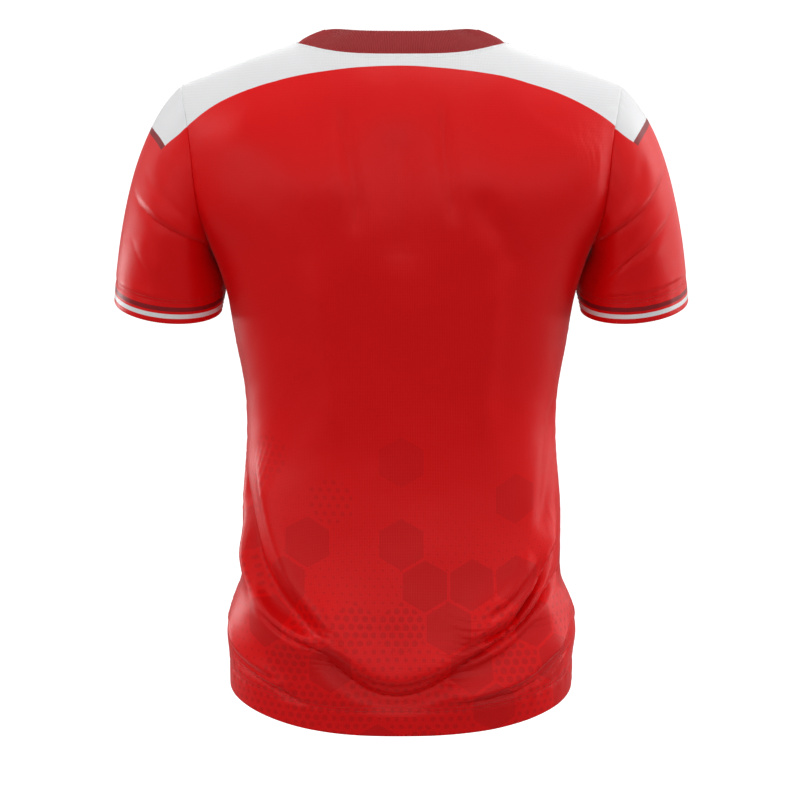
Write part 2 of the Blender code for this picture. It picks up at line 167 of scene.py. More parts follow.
# The body's section at each height: a rounded oval with its own depth to the back and front
TORSO = table("""
    height  half_width   back  front  squareness
    -0.690      0.1700  0.121  0.110         2.5
    -0.640      0.1728  0.123  0.111         2.5
    -0.610      0.1730  0.125  0.111         2.5
    -0.582      0.1748  0.125  0.110         2.5
    -0.558      0.1700  0.121  0.108         2.5
    -0.533      0.1608  0.115  0.106         2.4
    -0.500      0.1592  0.107  0.105         2.4
    -0.455      0.1584  0.099  0.107         2.4
    -0.385      0.1536  0.095  0.111         2.3
    -0.345      0.1546  0.097  0.114         2.3
    -0.290      0.1638  0.104  0.118         2.3
    -0.235      0.1738  0.113  0.120         2.4
    -0.197      0.1875  0.118  0.119         2.4
    -0.150      0.2172  0.121  0.117         2.4
    -0.100      0.2350  0.121  0.113         2.4
    -0.040      0.2480  0.120  0.110         2.4
     0.030      0.2500  0.120  0.110         2.4
""")

# How the sleeve leaves the armhole and reaches the cuff. A turn of 0 is under the arm, 0.5
# behind it, 1 on the shoulder and 1.5 before it.
SLEEVE_FLOW = table("""
    turn    out    back      up  cuff_reach
    0.00  0.016  -0.030  -0.050       0.040
    0.25  0.066   0.013  -0.082       0.087
    0.50  0.110   0.015  -0.120       0.130
    0.75  0.130   0.010  -0.120       0.180
    1.00  0.150   0.000  -0.132       0.200
    1.25  0.130  -0.030  -0.120       0.180
    1.50  0.110  -0.045  -0.120       0.130
    1.75  0.056  -0.036  -0.086       0.072
    2.00  0.016  -0.030  -0.050       0.040
""")

# Creases of the panels, all in millimetres: how far each stands out, or sinks if negative, its
# upper and its lower width and its sharpness (2 is a soft swell, 1 a crisp line); then the
# places it runs through, as the distance along the cloth from the middle and the height.
# Creases of the sleeves are alike, but with hundredths of a turn round the arm and of the way
# from the armhole to the cuff, and their upper side is the cuff's.
CREASES = {
    "back": creases("""
        7.5 26 9 1.7: 160 -390, 145 -424, 137 -448, 128 -476, 119 -498, 108 -520, 93 -538,
            73 -554, 54 -566, 36 -576;
        -11.0 13 12 2.0: 212 -400, 202 -421, 190 -440, 174 -468, 163 -493, 149 -514, 129 -533,
            107 -548, 83 -563, 63 -576;
        9.5 4.5 22 1.7: 190 -462, 179 -487, 170 -511, 155 -533, 132 -553, 109 -564, 87 -573,
            68 -581;
        -3.4 1.9 2.4 1.5: 150 -548, 133 -557, 110 -569, 88 -578, 74 -584, 56 -592;
        8.5 20 6 1.8: 100 -557, 73 -572, 54 -585, 32 -600, 6 -607, -20 -602, -50 -588, -74 -578;
        -10.0 4.5 11 1.8: 100 -576, 72 -592, 50 -609, 28 -622, 4 -627, -22 -621, -52 -606,
            -78 -592;
        11.0 22 4.5 1.7: -178 -452, -168 -472, -161 -484, -150 -498, -139 -513, -129 -527,
            -116 -539, -101 -551, -85 -560, -68 -569, -51 -577;
        -6.0 2.4 2.8 1.6: -172 -484, -162 -497, -151 -510, -141 -524, -132 -536, -121 -546,
            -108 -559, -92 -567, -78 -575, -63 -581;
        5.0 4 3.4 1.7: -176 -500, -152 -524, -137 -538, -123 -551, -109 -562, -92 -571,
            -74 -580, -57 -589;
        -7.5 2.6 5 1.6: -196 -508, -185 -519, -166 -530, -148 -541, -132 -551, -117 -561,
            -98 -571, -79 -582, -60 -594, -40 -607, -22 -617;
        -5.0 4 14 2.0: -40 -612, -70 -600, -100 -586, -130 -566, -160 -548;
        -5.0 5 6 1.8: -146 -492, -134 -512, -121 -525, -104 -540, -88 -550, -74 -560;
        4.0 6 7 1.8: -132 -488, -121 -506, -112 -522, -97 -537, -82 -549;
        7.0 13 3.4 1.7: -204 -564, -184 -577, -168 -586, -151 -594, -127 -608, -106 -616,
            -85 -622, -61 -627, -30 -629;
        -3.4 2 3 1.6: -206 -586, -192 -594, -172 -602, -158 -610, -141 -617, -125 -622,
            -108 -627, -93 -629, -78 -631, -47 -634;
        3.6 14 3.6 1.7: 222 -560, 205 -572, 186 -584, 165 -594, 140 -603, 116 -611;
        -2.4 2.4 6 1.7: 226 -562, 217 -573, 188 -591, 168 -601, 145 -609, 120 -616;
        5.5 11 3 1.6: 216 -582, 195 -590, 172 -603, 148 -611, 124 -618, 100 -626;
        -3.4 2 3 1.6: 214 -586, 197 -595, 175 -609, 149 -617, 127 -623, 107 -631, 88 -637;
        -3.4 12 12 2.0: -176 -330, -168 -398, -152 -452, -146 -500;
        4.2 42 30 2.0: 196 -62, 170 -80, 142 -92, 118 -108, 92 -124, 60 -130, 20 -122;
        4.2 42 30 2.0: -20 -110, -60 -117, -102 -124, -136 -126, -164 -118, -184 -98, -196 -70;
        -4.0 18 18 2.0: 6 -60, 3 -110, 0 -160, 0 -220;
        -3.2 7 7 2.0: 60 -50, 52 -92, 45 -128, 42 -180;
        -3.2 7 7 2.0: -38 -46, -40 -90, -44 -120, -52 -172;
        -2.6 12 12 2.0: -70 -130, -84 -160, -100 -180, -112 -220;
        2.6 13 13 2.0: 88 -190, 76 -250, 68 -310, 64 -390;
        2.6 13 13 2.0: -96 -200, -88 -250, -83 -310, -80 -390"""),
    "front": creases("""
        4.0 30 10 1.8: 188 -395, 166 -440, 140 -494, 98 -540, 38 -575;
        -3.0 12 12 2.0: 206 -430, 178 -480, 140 -530, 92 -562;
        5.6 28 10 1.8: -8 -600, -62 -580, -120 -545, -158 -500, -185 -430;
        -4.2 7 8 1.7: -40 -612, -92 -590, -140 -552, -172 -508;
        5.2 24 9 1.7: 158 -538, 118 -566, 70 -590, 26 -602, -20 -606;
        -3.2 9 10 2.0: 96 -602, 50 -618, 0 -622, -36 -616;
        4.0 18 8 1.8: 238 -566, 200 -590, 160 -602, 116 -610, 78 -618;
        4.0 18 8 1.8: -78 -616, -120 -608, -166 -597, -204 -582, -238 -562;
        -2.0 12 12 2.0: 120 -330, 112 -380, 96 -420;
        -1.8 14 12 2.0: -146 -300, -132 -360, -128 -410;
        1.5 18 18 2.0: -104 -96, -84 -142, -76 -190;
        -1.2 12 12 2.0: 96 -100, 80 -134, 70 -172;
        2.0 22 24 2.0: 86 -230, 60 -300, 56 -372;
        -1.6 16 16 2.0: -20 -330, -34 -400, -30 -470"""),
    "sleeve_left": creases("""
        1.9 4 16 1.9: -12 -22, 6 0, 18 13, 29 24, 42 33.5, 53 39.5, 63 44, 72 45.8, 80 45.5,
            90 41;
        -2.1 5 1.8 1.5: -10 -18, 5 1, 18.3 16.5, 28.8 27.4, 42.3 37, 52.8 42.9, 63.2 47.4,
            71.7 49.1, 80.2 48.8, 92 43;
        -0.8 5 6 1.9: 28 14, 45 25, 58 32.5, 70 37, 86 35;
        -0.9 12 12 2.0: 34 10, 48 16, 60 22, 74 25;
        1.0 14 14 2.0: 72 60, 60 66, 48 68;
        -0.4 1.8 2.2 1.5: 80 63, 70.7 68.6, 66.7 70.8, 62.4 72.5, 55 76;
        0.7 2.5 8 1.6: 20 79, 45 82, 70 86, 92 88;
        -4.0 12 10 1.8: 188 18, 168 34, 148 44, 128 42, 112 40;
        2.6 10 16 2.0: 184 36, 160 52, 136 54, 118 52"""),
    "sleeve_right": creases("""
        2.2 4 16 1.9: -14 -20, 6 0, 22 14, 33 22.8, 44 29.5, 52 33.4, 60 36.8, 68 38.7, 75 38.8,
            82 38.2, 96 34;
        -2.2 5 1.8 1.5: -12 -18, 5 0, 11.8 6.9, 22.4 17.2, 33.1 26, 43.7 32.6, 51.9 36.6,
            60.1 40, 67.8 41.9, 74.7 42.2, 81.8 41.6, 96 37.5;
        1.5 3 11 1.8: 24 56.5, 39 53, 49 52.8, 58 54, 66 55, 73 55, 86 52;
        -1.4 3.5 1.8 1.5: 20 61, 29.2 58.2, 39.2 55.9, 49.5 55.8, 57.8 57.3, 65.9 58.2, 73.3 58,
            88 54.5;
        1.0 12 6 1.8: 26 66, 39 61, 56 63, 74 65;
        -1.2 12 12 2.0: 36 14, 48 21, 62 27, 74 29;
        1.0 2 8 1.5: 16 71, 30 74, 43 76.8, 58 80.8, 75 83, 94 85;
        -0.9 1.6 1.8 1.5: 18 73, 30 76, 43.2 78.6, 58.5 82.6, 75.2 84.8, 94 87;
        -4.0 12 10 1.8: 186 24, 166 40, 148 46, 126 48, 110 46;
        2.4 10 16 2.0: 182 44, 158 58, 134 60, 116 58"""),
}

# Lower edge of the white yoke, the same on both panels, in millimetres: distance along the
# cloth from the middle line, + to the wearer's left, and height
YOKE_ACROSS, YOKE_HEIGHT = MM * np.array([
    [-260, -212, -190, -165, -138, -108, -75, -40, 0, 40, 75, 108, 138, 165, 190, 212, 260],
    [-111, -70.9, -57.3, -45.3, -36.6, -30.4, -25.2, -20.7, -18.5, -20.4, -24.1, -28.9, -35.8,
     -44.7, -55.5, -70.4, -114.3],
])
# The back's width between the armholes, as a share of each panel's own
YOKE_REACH = {"back": 1.0, "front": 0.892}

# The white print on each sleeve, behind and in front alike: its lower side, from the armhole to
# its pointed tip, and its outer edge, from the tip to the shoulder line. Both are given as
# hundredths of a turn from the shoulder line and of the way to the cuff.
SLEEVE_PRINT = {
    "sleeve_left": (
        [(34.2, 0), (33.8, 5.5), (32.3, 11), (29.6, 18.2)],
        [(29.6, 18.2), (22.5, 20), (14, 21.8), (0, 23.6)],
    ),
    "sleeve_right": (
        [(35.2, 0), (34.3, 5.5), (32.8, 10.5), (31, 14.7)],
        [(31, 14.7), (23.5, 16.6), (14, 18.2), (0, 19.2)],
    ),
}
TIP_TAPE = 0.0060  # the dark tape along the print's outer edge
CUFF_STRIPES = ((0.0045, 0.0090), (0.0117, 0.0162))  # white, then dark, from the cuff's edge
LINE_STEPS = 60
FAR = 1.0  # what a distance attribute says where there is no such edge
EDGE_SOFTNESS = 0.00025  # of the print's edges


# ---- Shapes ----


def blend(start, end, share):
    return start + (end - start) * share


def ease(share):
    share = np.clip(share, 0.0, 1.0)
    return share * share * (3.0 - 2.0 * share)


def bend(start, leave, end, arrive, share):
    """A curve from start to end that leaves and arrives along the given directions."""
    s2, s3 = share**2, share**3
    out = (2 * s3 - 3 * s2 + 1) * start + (s3 - 2 * s2 + share) * leave
    return out + (3 * s2 - 2 * s3) * end + (s3 - s2) * arrive


def curve_through(place, value, at):
    """The value at any place, on a smooth curve through the given ones."""
    slope = np.gradient(value, place)
    i = np.clip(np.searchsorted(place, at) - 1, 0, len(place) - 2)
    step = place[i + 1] - place[i]
    share = np.clip((at - place[i]) / step, 0.0, 1.0)
    return bend(value[i], slope[i] * step, value[i + 1], slope[i + 1] * step, share)


def torso(column, height):
    return curve_through(TORSO["height"], TORSO[column], height)


def unit(vectors):
    length = np.linalg.norm(vectors, axis=-1, keepdims=True)
    return vectors / np.maximum(length, 1e-9)


def ridge_height(x):
    """The shoulder line, and the arch that would join its two halves over the neck."""
    out = np.maximum(np.abs(x) - NECK_HALF_WIDTH, 0.0)
    over_neck = np.clip(1.0 - (x / NECK_HALF_WIDTH) ** 2, 0.0, 1.0)
    return NECK_ARCH_RISE * over_neck - SHOULDER_FALL * out - SHOULDER_DROOP * out**2


def arch(turn):
    """Rise and depth shares at a quarter turn's share, from the armpit's height to the ridge."""
    angle = turn * math.pi / 2
    power = 2.0 / ARCH_SQUARENESS
    return np.sin(angle) ** power, np.maximum(np.cos(angle), 0.0) ** power


def seamward(count, start=True, end=True):
    """Line numbers from 0 to count, with closer ones beside a seam at the start or the end."""
    lines = [[0.0], SEAM_STEPS if start else [], np.arange(1.0, count)]
    return np.concatenate([*lines, count - SEAM_STEPS[::-1] if end else [], [count]])


def top_edge(panel, columns):
    """Where each column ends: its x, and its share of the arch up to the ridge."""
    from_side = np.minimum(columns, columns[-1] - columns)
    shoulder = blend(SHOULDER_HALF_WIDTH, NECK_HALF_WIDTH, from_side / SHOULDER_COLUMNS)
    shoulder *= np.sign(columns[-1] / 2 - columns)
    across = np.clip((columns - SHOULDER_COLUMNS) / NECK_COLUMNS, 0.0, 1.0)
    neck = NECK_HALF_WIDTH * np.cos(math.pi * across)
    x = np.where(from_side < SHOULDER_COLUMNS, shoulder, neck)
    flatness = NECK_FLATNESS[panel]
    inside = np.clip(np.abs(x) / NECK_HALF_WIDTH, 0.0, 1.0)
    neck = -NECK_DROP[panel] * (1.0 - inside ** flatness[0]) ** flatness[1]
    height = np.where(inside >= 1.0, ridge_height(x), neck)
    rise = (height - ARMPIT_HEIGHT) / (ridge_height(x) - ARMPIT_HEIGHT)
    turn = np.arcsin(np.clip(rise, 0.0, 1.0) ** (ARCH_SQUARENESS / 2)) / (math.pi / 2)
    return x, np.where(inside >= 1.0, 1.0, turn)


def yoke_steps():
    """Shares of the way from the armpit to the shoulder at which the panels' rows lie."""
    return seamward(YOKE_ROWS, start=False) / YOKE_ROWS


def panel_net(panel):
    """Rows from the hem up, columns round the body: left to right behind, right to left before."""
    columns = seamward(2 * SHOULDER_COLUMNS + NECK_COLUMNS)
    x_top, turn_top = top_edge(panel, columns)
    around = math.pi * columns / (2 * SHOULDER_COLUMNS + NECK_COLUMNS)
    cosine, sine = np.cos(around), np.sin(around)
    sine[[0, -1]] = 0.0

    # The straight part, from the hem to the armpit
    skirt = np.linspace(HEM_HEIGHT, SKIRT_TOP, SKIRT_ROWS + 1)[:-1]
    waist = np.linspace(SKIRT_TOP, ARMPIT_HEIGHT, WAIST_ROWS + 1)
    levels = np.concatenate([skirt, waist])[:, None]
    drop = HEM_DROP[panel] * sine**HEM_CURVE_POWER
    height = levels - drop * (ARMPIT_HEIGHT - levels) / (ARMPIT_HEIGHT - HEM_HEIGHT)
    power = 2.0 / torso("squareness", height)
    x = torso("half_width", height) * np.sign(cosine) * np.abs(cosine) ** power
    y = torso(panel, height) * sine**power
    rows = list(np.stack([x, y, height], axis=-1))

    # The arched part, from the armpit over the shoulder
    share_low = x[-1] / x[-1, 0]
    share_top = x_top / SHOULDER_HALF_WIDTH
    for step in yoke_steps()[1:]:
        level = step**YOKE_ROW_SPREAD
        rise, _ = arch(level)
        edge = blend(x[-1, 0], SHOULDER_HALF_WIDTH, rise)
        edge += ARMHOLE_SWAY * math.sin(2 * math.pi * rise)
        across = edge * blend(share_low, share_top, ease(level))
        rises, depths = arch(level * turn_top)
        up = blend(ARMPIT_HEIGHT, ridge_height(across), rises)
        squareness = torso("squareness", up)
        inside = 1.0 - np.abs(across / torso("half_width", up)) ** squareness
        out = torso(panel, up) * inside ** (1.0 / squareness) * depths
        rows.append(np.stack([across, out, up], axis=-1))
    net = np.array(rows)
    if panel == "back":
        return net
    net[..., 1] *= -1.0
    return net[:, ::-1]


def is_ring(name):
    return name not in ("back", "front")


def armhole(back, front):
    """The left armhole's points, from under the arm up the back and down the front."""
    low = SKIRT_ROWS + WAIST_ROWS
    return np.concatenate([back[low:, 0], front[low:, -1][-2::-1]])


def armhole_turns():
    """The turn round the arm of each armhole point: 0 below, 1 on the shoulder, 2 below."""
    half = yoke_steps() ** SLEEVE_TURN_SPREAD
    return np.concatenate([half, 2.0 - half[-2::-1]])


def sleeve_shares():
    """Shares of the way from the armhole to the cuff at which a sleeve's rows lie."""
    return seamward(SLEEVE_ROWS, end=False) / SLEEVE_ROWS


def sleeve_net(ring):
    """Rows from the armhole to the cuff, columns round the arm."""
    turns = armhole_turns()
    outward = np.array([math.cos(CUFF_RISE_OUT), 0.0, math.sin(CUFF_RISE_OUT)])
    backward = np.array([0.0, math.cos(CUFF_DROP_BACK), -math.sin(CUFF_DROP_BACK)])
    down = unit(-np.cross(outward, backward))
    cuff = CUFF_CENTRE - np.cos(math.pi * turns)[:, None] * CUFF_HALF_WIDTH * outward
    cuff = cuff + np.sin(math.pi * turns)[:, None] * CUFF_HALF_DEPTH * backward
    place, *flow = SLEEVE_FLOW.values()
    out, back, up, reach = [curve_through(place, values, turns) for values in flow]
    leave = np.stack([out, back, up], axis=-1)
    arrive = reach[:, None] * down
    away = (turns - PRESS_TURN + 1.0) % 2.0 - 1.0
    press = PRESS_DEPTH * np.exp(-((away / PRESS_SPREAD) ** 2))
    rows = []
    for share in sleeve_shares():
        row = bend(ring, leave, cuff, arrive, share)
        row[:, 0] -= press * ease(share / PRESS_RISE) * ease((1.0 - share) / PRESS_FALL)
        rows.append(row)
    return np.array(rows)


def mirrored(net):
    """The right-hand piece: the left one's mirror image, its columns run the other way."""
    return net[:, ::-1] * np.array([-1.0, 1.0, 1.0])


def net_normals(net, ring):
    """Which way each point faces: out of the garment."""
    padded = np.concatenate([net[:, -2:-1], net, net[:, 1:2]], axis=1) if ring else net
    along = np.gradient(padded, axis=1)
    if ring:
        along = along[:, 1:-1]
    return unit(np.cross(along, np.gradient(net, axis=0)))


def joined_normals(nets):
    """Every piece's normals, made the same where pieces share a point."""
    points = np.concatenate([net.reshape(-1, 3) for net in nets.values()])
    facing = [net_normals(net, is_ring(name)).reshape(-1, 3) for name, net in nets.items()]
    _, place = np.unique(np.round(points, 6), axis=0, return_inverse=True)
    place = place.reshape(-1)
    summed = np.zeros((place.max() + 1, 3))
    np.add.at(summed, place, np.concatenate(facing))
    ends = np.cumsum([len(part) for part in facing])[:-1]
    parts = np.split(unit(summed)[place], ends)
    return {name: part.reshape(nets[name].shape) for name, part in zip(nets, parts)}


def lengths_along(net, axis):
    """Distance along the cloth of each point from the net's first row or first column."""
    steps = np.linalg.norm(np.diff(net, axis=axis), axis=-1)
    start = np.zeros_like(steps.take([0], axis=axis))
    return np.concatenate([start, np.cumsum(steps, axis=axis)], axis=axis)


# ---- Creases, seams and hems ----


def crease_relief(across, up, crease, scale):
    """How far one crease moves each point, from its distance to the crease's path."""
    rise, upper, lower, sharpness, places = crease
    places = np.array(places) * scale
    at = np.cumsum(np.linalg.norm(np.diff(places, axis=0, prepend=places[:1]), axis=1))
    share = np.linspace(0.0, 1.0, PATH_STEPS)
    line = [curve_through(at / at[-1], places[:, k], share) for k in (0, 1)]
    line = np.stack(line, axis=-1)
    ahead = unit(np.gradient(line, axis=0))
    reach = CREASE_REACH * max(upper, lower) * MM
    low, high = line.min(axis=0) - reach, line.max(axis=0) + reach
    near = (across > low[0]) & (across < high[0]) & (up > low[1]) & (up < high[1])
    offset = np.stack([across[near], up[near]], axis=-1)[:, None] - line
    nearest = np.argmin((offset**2).sum(axis=-1), axis=-1)
    offset = np.take_along_axis(offset, nearest[:, None, None], axis=1)[:, 0]
    ahead = ahead[nearest]
    above = ahead[:, 0] * offset[:, 1] - ahead[:, 1] * offset[:, 0]
    above *= np.sign(line[-1, 0] - line[0, 0])
    width = np.where(above > 0.0, upper, lower) * MM
    away = np.linalg.norm(offset, axis=-1)
    along = share[nearest]
    fade = ease(along / CREASE_END) * ease((1.0 - along) / CREASE_END)
    relief = np.zeros(across.shape)
    relief[near] = rise * MM * fade * np.exp(-((away / width) ** sharpness))
    return relief


def wander(along, length, seed):
    """A smooth uneven wave of about the given length, between -1 and 1."""
    random = np.random.default_rng(seed)
    wave = np.zeros(np.shape(along))
    for _ in range(PUCKER_WAVES):
        pitch = length * random.uniform(*PUCKER_PITCHES)
        wave += np.sin(2 * math.pi * (along / pitch + random.random()))
    return wave / PUCKER_PEAK


def swell(across, up, seed):
    """The slight unevenness of hanging cloth, in metres."""
    random = np.random.default_rng(seed)
    relief = np.zeros(across.shape)
    for length, height in SWELLS:
        for _ in range(SWELL_WAVES):
            angle = random.uniform(0.0, math.pi)
            pitch = length * random.uniform(*SWELL_PITCHES)
            line = across * math.cos(angle) + up * math.sin(angle)
            wave = np.sin(2 * math.pi * (line / pitch + random.random()))
            relief += height * MM * wave / SWELL_WAVES
    return relief


def puckers(away, along, seed):
    """The puckers beside stitches, from the distances to and along their line."""
    beside = np.exp(-((away / PUCKER_REACH) ** 2)) * (1 - np.exp(-((away / PUCKER_START) ** 2)))
    return PUCKER_HEIGHT * wander(along, PUCKER_LENGTH, seed) * beside


def seam_relief(away, along, seed):
    """The groove of a seam, with its puckers."""
    groove = -SEAM_GROOVE * np.exp(-((away / SEAM_GROOVE_WIDTH) ** 2))
    return groove + puckers(away, along, seed)


def hem_relief(from_edge, along, rows, seed):
    """A turned-up hem: dimples along its stitch rows, and puckers on both sides of them."""
    relief = np.zeros(from_edge.shape)
    for row in rows:
        relief -= HEM_DIMPLE * np.exp(-(((from_edge - row) / HEM_DIMPLE_WIDTH) ** 2))
    return relief + puckers(np.abs(from_edge - sum(rows) / 2), along, seed)


def panel_places(net, name):
    """Where each of a panel's points lies on the cloth, as named distances."""
    lengths, rising = lengths_along(net, 1), lengths_along(net, 0)
    middle = lengths[:, [net.shape[1] // 2]]
    return {
        "across": (middle - lengths) if name == "back" else (lengths - middle),
        "up": net[..., 2],
        "from_side": np.minimum(lengths, lengths[:, -1:] - lengths),
        "from_hem": rising,
        "from_top": rising[-1] - rising,
    }


def panel_relief(places, name, seed):
    across, up = places["across"], places["up"]
    relief = swell(across, up, seed)
    for crease in CREASES[name]:
        relief += crease_relief(across, up, crease, np.array([MM, MM]))
    relief *= ease(places["from_side"] / PANEL_EDGE_FADE)
    relief *= ease(places["from_top"] / PANEL_EDGE_FADE)
    relief += seam_relief(places["from_side"], up, seed + 1)
    relief += seam_relief(places["from_top"], across, seed + 2)
    return relief + hem_relief(places["from_hem"], across, HEM_ROWS, seed + 3)


def sleeve_places(net):
    """Where each of a sleeve's points lies on the cloth, and the sleeve's own sizes."""
    rising, round_arm = lengths_along(net, 0), lengths_along(net, 1)
    spread = np.zeros(net.shape[:2])
    return {
        "turn": armhole_turns() + spread,
        "share": sleeve_shares()[:, None] + spread,
        "half_girth": math.pi * (CUFF_HALF_WIDTH + CUFF_HALF_DEPTH) / 2,
        "reach": np.linalg.norm(net[-1] - net[0], axis=-1).max(),
        "from_seam": np.minimum(round_arm, round_arm[:, -1:] - round_arm),
        "from_armhole": rising,
        "from_cuff": rising[-1] - rising,
    }


def sleeve_relief(places, sleeve, seed):
    across, up = places["turn"] * places["half_girth"], places["share"] * places["reach"]
    scale = np.array([places["half_girth"], places["reach"]]) / 100
    relief = np.zeros(across.shape)
    for crease in CREASES[sleeve]:
        relief += crease_relief(across, up, crease, scale)
    unevenness = swell(across, up, seed) * ease(places["from_seam"] / PANEL_EDGE_FADE)
    relief += SLEEVE_SWELL * unevenness
    relief *= ease(places["share"] / ARMHOLE_FADE) * ease((1 - places["share"]) / CUFF_FADE)
    relief += seam_relief(places["from_armhole"], across, seed + 1)
    groove_end = ease(places["from_armhole"] / PUCKER_START)
    relief += seam_relief(places["from_seam"], up, seed + 2) * groove_end
    return relief + hem_relief(places["from_cuff"], across, CUFF_ROWS, seed + 3)


# ---- Print and hem distances, kept as attributes of the points ----


def panel_print(places, name):
    edge = curve_through(YOKE_ACROSS, YOKE_HEIGHT, places["across"] * YOKE_REACH[name])
    far = np.full(edge.shape, FAR)
    return {"yoke_side": places["up"] - edge, "yoke_reach": far, "from_cuff": far}


def on_sleeve(net, turn, share):
    """The place on a sleeve's net at any turn and share of the way to the cuff."""
    columns, rows = np.arange(net.shape[1]), np.arange(net.shape[0])
    column = np.interp(turn, armhole_turns(), columns)
    row = np.interp(share, sleeve_shares(), rows)
    j = np.minimum(column.astype(int), len(columns) - 2)
    i = np.minimum(row.astype(int), len(rows) - 2)
    column, row = (column - j)[:, None], (row - i)[:, None]
    low = blend(net[i, j], net[i, j + 1], column)
    return blend(low, blend(net[i + 1, j], net[i + 1, j + 1], column), row)


def from_line(net, places, line, beyond):
    """Signed distance on a sleeve from a line and its straight run on, + on the shoulder's side.

    The line is the same behind and in front. It runs on past its last place, or with beyond
    -1 past its first.
    """
    line = np.array(line, float)[::beyond] / 100
    at = np.arange(len(line))
    shares = np.linspace(0.0, at[-1], LINE_STEPS)
    drawn = np.stack([curve_through(at, line[:, k], shares) for k in (0, 1)], axis=-1)
    ahead = drawn[-1] - drawn[-2]
    run_on = drawn[-1] + ahead * np.arange(1, LINE_STEPS)[:, None] / 2
    drawn = np.concatenate([drawn, run_on])
    offset = places["turn"] - 1.0
    signed = np.zeros(offset.shape)
    scale = np.array([places["half_girth"], places["reach"]])
    flat = np.stack([np.abs(offset), places["share"]], axis=-1) * scale
    ahead = unit(np.gradient(drawn * scale, axis=0))
    for half, direction in ((offset <= 0.0, -1.0), (offset > 0.0, 1.0)):
        solid = on_sleeve(net, 1.0 + direction * drawn[:, 0], drawn[:, 1])
        away = np.linalg.norm(net[half][:, None] - solid, axis=-1)
        nearest = np.argmin(away, axis=1)
        step = flat[half] - (drawn * scale)[nearest]
        side = ahead[nearest, 0] * step[:, 1] - ahead[nearest, 1] * step[:, 0]
        near = away.min(axis=1)
        signed[half] = np.where(side * beyond > 0.0, near, -near)
    return signed


def sleeve_print(net, places, sleeve):
    """Distances into the white print: from its slanting side, and from its outer edge."""
    side, edge = SLEEVE_PRINT[sleeve]
    return {
        "yoke_side": from_line(net, places, side, 1),
        "yoke_reach": from_line(net, places, edge, -1),
    }


# ---- Meshes ----


def placed(name, data):
    """A new object in the scene."""
    obj = bpy.data.objects.new(name, data)
    bpy.context.scene.collection.objects.link(obj)
    return obj


def wall_loop(net, normals, wall, roundness):
    """Rows of points once round a wall, and which of the net's rows each comes from.

    They run up the outer skin, over the far rim, down the inner skin and back over the near
    rim. roundness is that of the first and of the last row's rim.
    """
    outer = net + normals * OUTER_FACE
    inner = outer - normals * wall[..., None]
    angles = np.arange(1, RIM_STEPS + 1) * math.pi / (RIM_STEPS + 1)

    def rim(edge, before, start, end, share):
        out = unit(net[edge] - net[before]) * wall[edge][:, None] / 2 * share
        middle = (start[edge] + end[edge]) / 2
        return [
            middle + math.cos(a) * (start[edge] - middle) + math.sin(a) * out for a in angles
        ]

    far_rim = rim(-1, -2, outer, inner, roundness[1])
    near_rim = rim(0, 1, inner, outer, roundness[0])
    source = np.arange(len(net))
    source = np.concatenate([source, [source[-1]] * RIM_STEPS, source[::-1], [0] * RIM_STEPS])
    return np.array([*outer, *far_rim, *inner[::-1], *near_rim]), source


def side_faces(rows):
    """Faces that close an open side of a wall, as row numbers."""
    last_inner = 2 * rows + RIM_STEPS - 1
    faces = [[i, i + 1, last_inner - i - 1, last_inner - i] for i in range(rows - 1)]
    far_rim = list(range(rows - 1, rows + RIM_STEPS + 1))
    return [*faces, far_rim, [0, *range(last_inner, 2 * (rows + RIM_STEPS))]]


def shell(name, net, normals, wall, fields, flat, roundness, inner_fields=None):
    """A thin closed piece: an outer skin, an inner skin and rounded rims.

    flat is each point's place on the flat cloth. inner_fields replace fields on the inner skin.
    """
    ring = is_ring(name)
    rows, columns = net.shape[:2]
    loop, source = wall_loop(net, normals, wall, roundness)
    is_inner = np.zeros(len(loop), bool)
    is_inner[rows + RIM_STEPS : 2 * rows + RIM_STEPS] = True

    spans = columns - 1
    kept = spans if ring else columns
    here = np.arange(len(loop))[:, None]
    there = (here + 1) % len(loop)
    left, right = np.arange(spans)[None], np.arange(1, columns)[None]
    corners = [(here, left), (here, right), (there, right), (there, left)]
    quads = np.stack([row * columns + column for row, column in corners], axis=-1)
    backed = is_inner & (wall[source].min(axis=1) < (PANEL_WALL + HEM_WALL) / 2)
    inside = np.broadcast_to((backed & np.roll(backed, -1))[:, None], quads.shape[:2])
    faces = quads.reshape(-1, 4).tolist()
    materials = inside.reshape(-1).astype(int).tolist()
    if not ring:
        sides = side_faces(rows)
        faces += [[row * columns for row in face] for face in sides]
        faces += [[row * columns + spans for row in face[::-1]] for face in sides]
        materials += [0] * (2 * len(sides))

    mesh = bpy.data.meshes.new(name)
    points = loop[:, :kept].reshape(-1, 3).tolist()
    joined = [[p // columns * kept + p % columns % kept for p in face] for face in faces]
    mesh.from_pydata(points, [], joined)
    mesh.polygons.foreach_set("material_index", materials)
    uv = flat[source].reshape(-1, 2)[np.concatenate(faces)]
    mesh.uv_layers.new(name="cloth").data.foreach_set("uv", uv.astype(np.float32).ravel())
    for field, values in fields.items():
        spread = values[source]
        if inner_fields and field in inner_fields:
            spread = np.where(is_inner[:, None], inner_fields[field], spread)
        attribute = mesh.attributes.new(field, "FLOAT", "POINT")
        attribute.data.foreach_set("value", spread[:, :kept].astype(np.float32).ravel())
    mesh.shade_smooth()
    mesh.set_sharp_from_angle(angle=SHARP_EDGE)
    return mesh


def row_at(net, normals, distances, wanted, columns):
    """A line on the outer skin, at the wanted distance, and which way it faces."""
    line, facing = [], []
    for j in columns:
        order = np.argsort(distances[:, j])
        at = distances[order, j]
        line.append([np.interp(wanted, at, net[order, j, k]) for k in range(3)])
        facing.append([np.interp(wanted, at, normals[order, j, k]) for k in range(3)])
    facing = unit(np.array(facing))
    return np.array(line) + facing * OUTER_FACE, facing


# ---- Materials ----


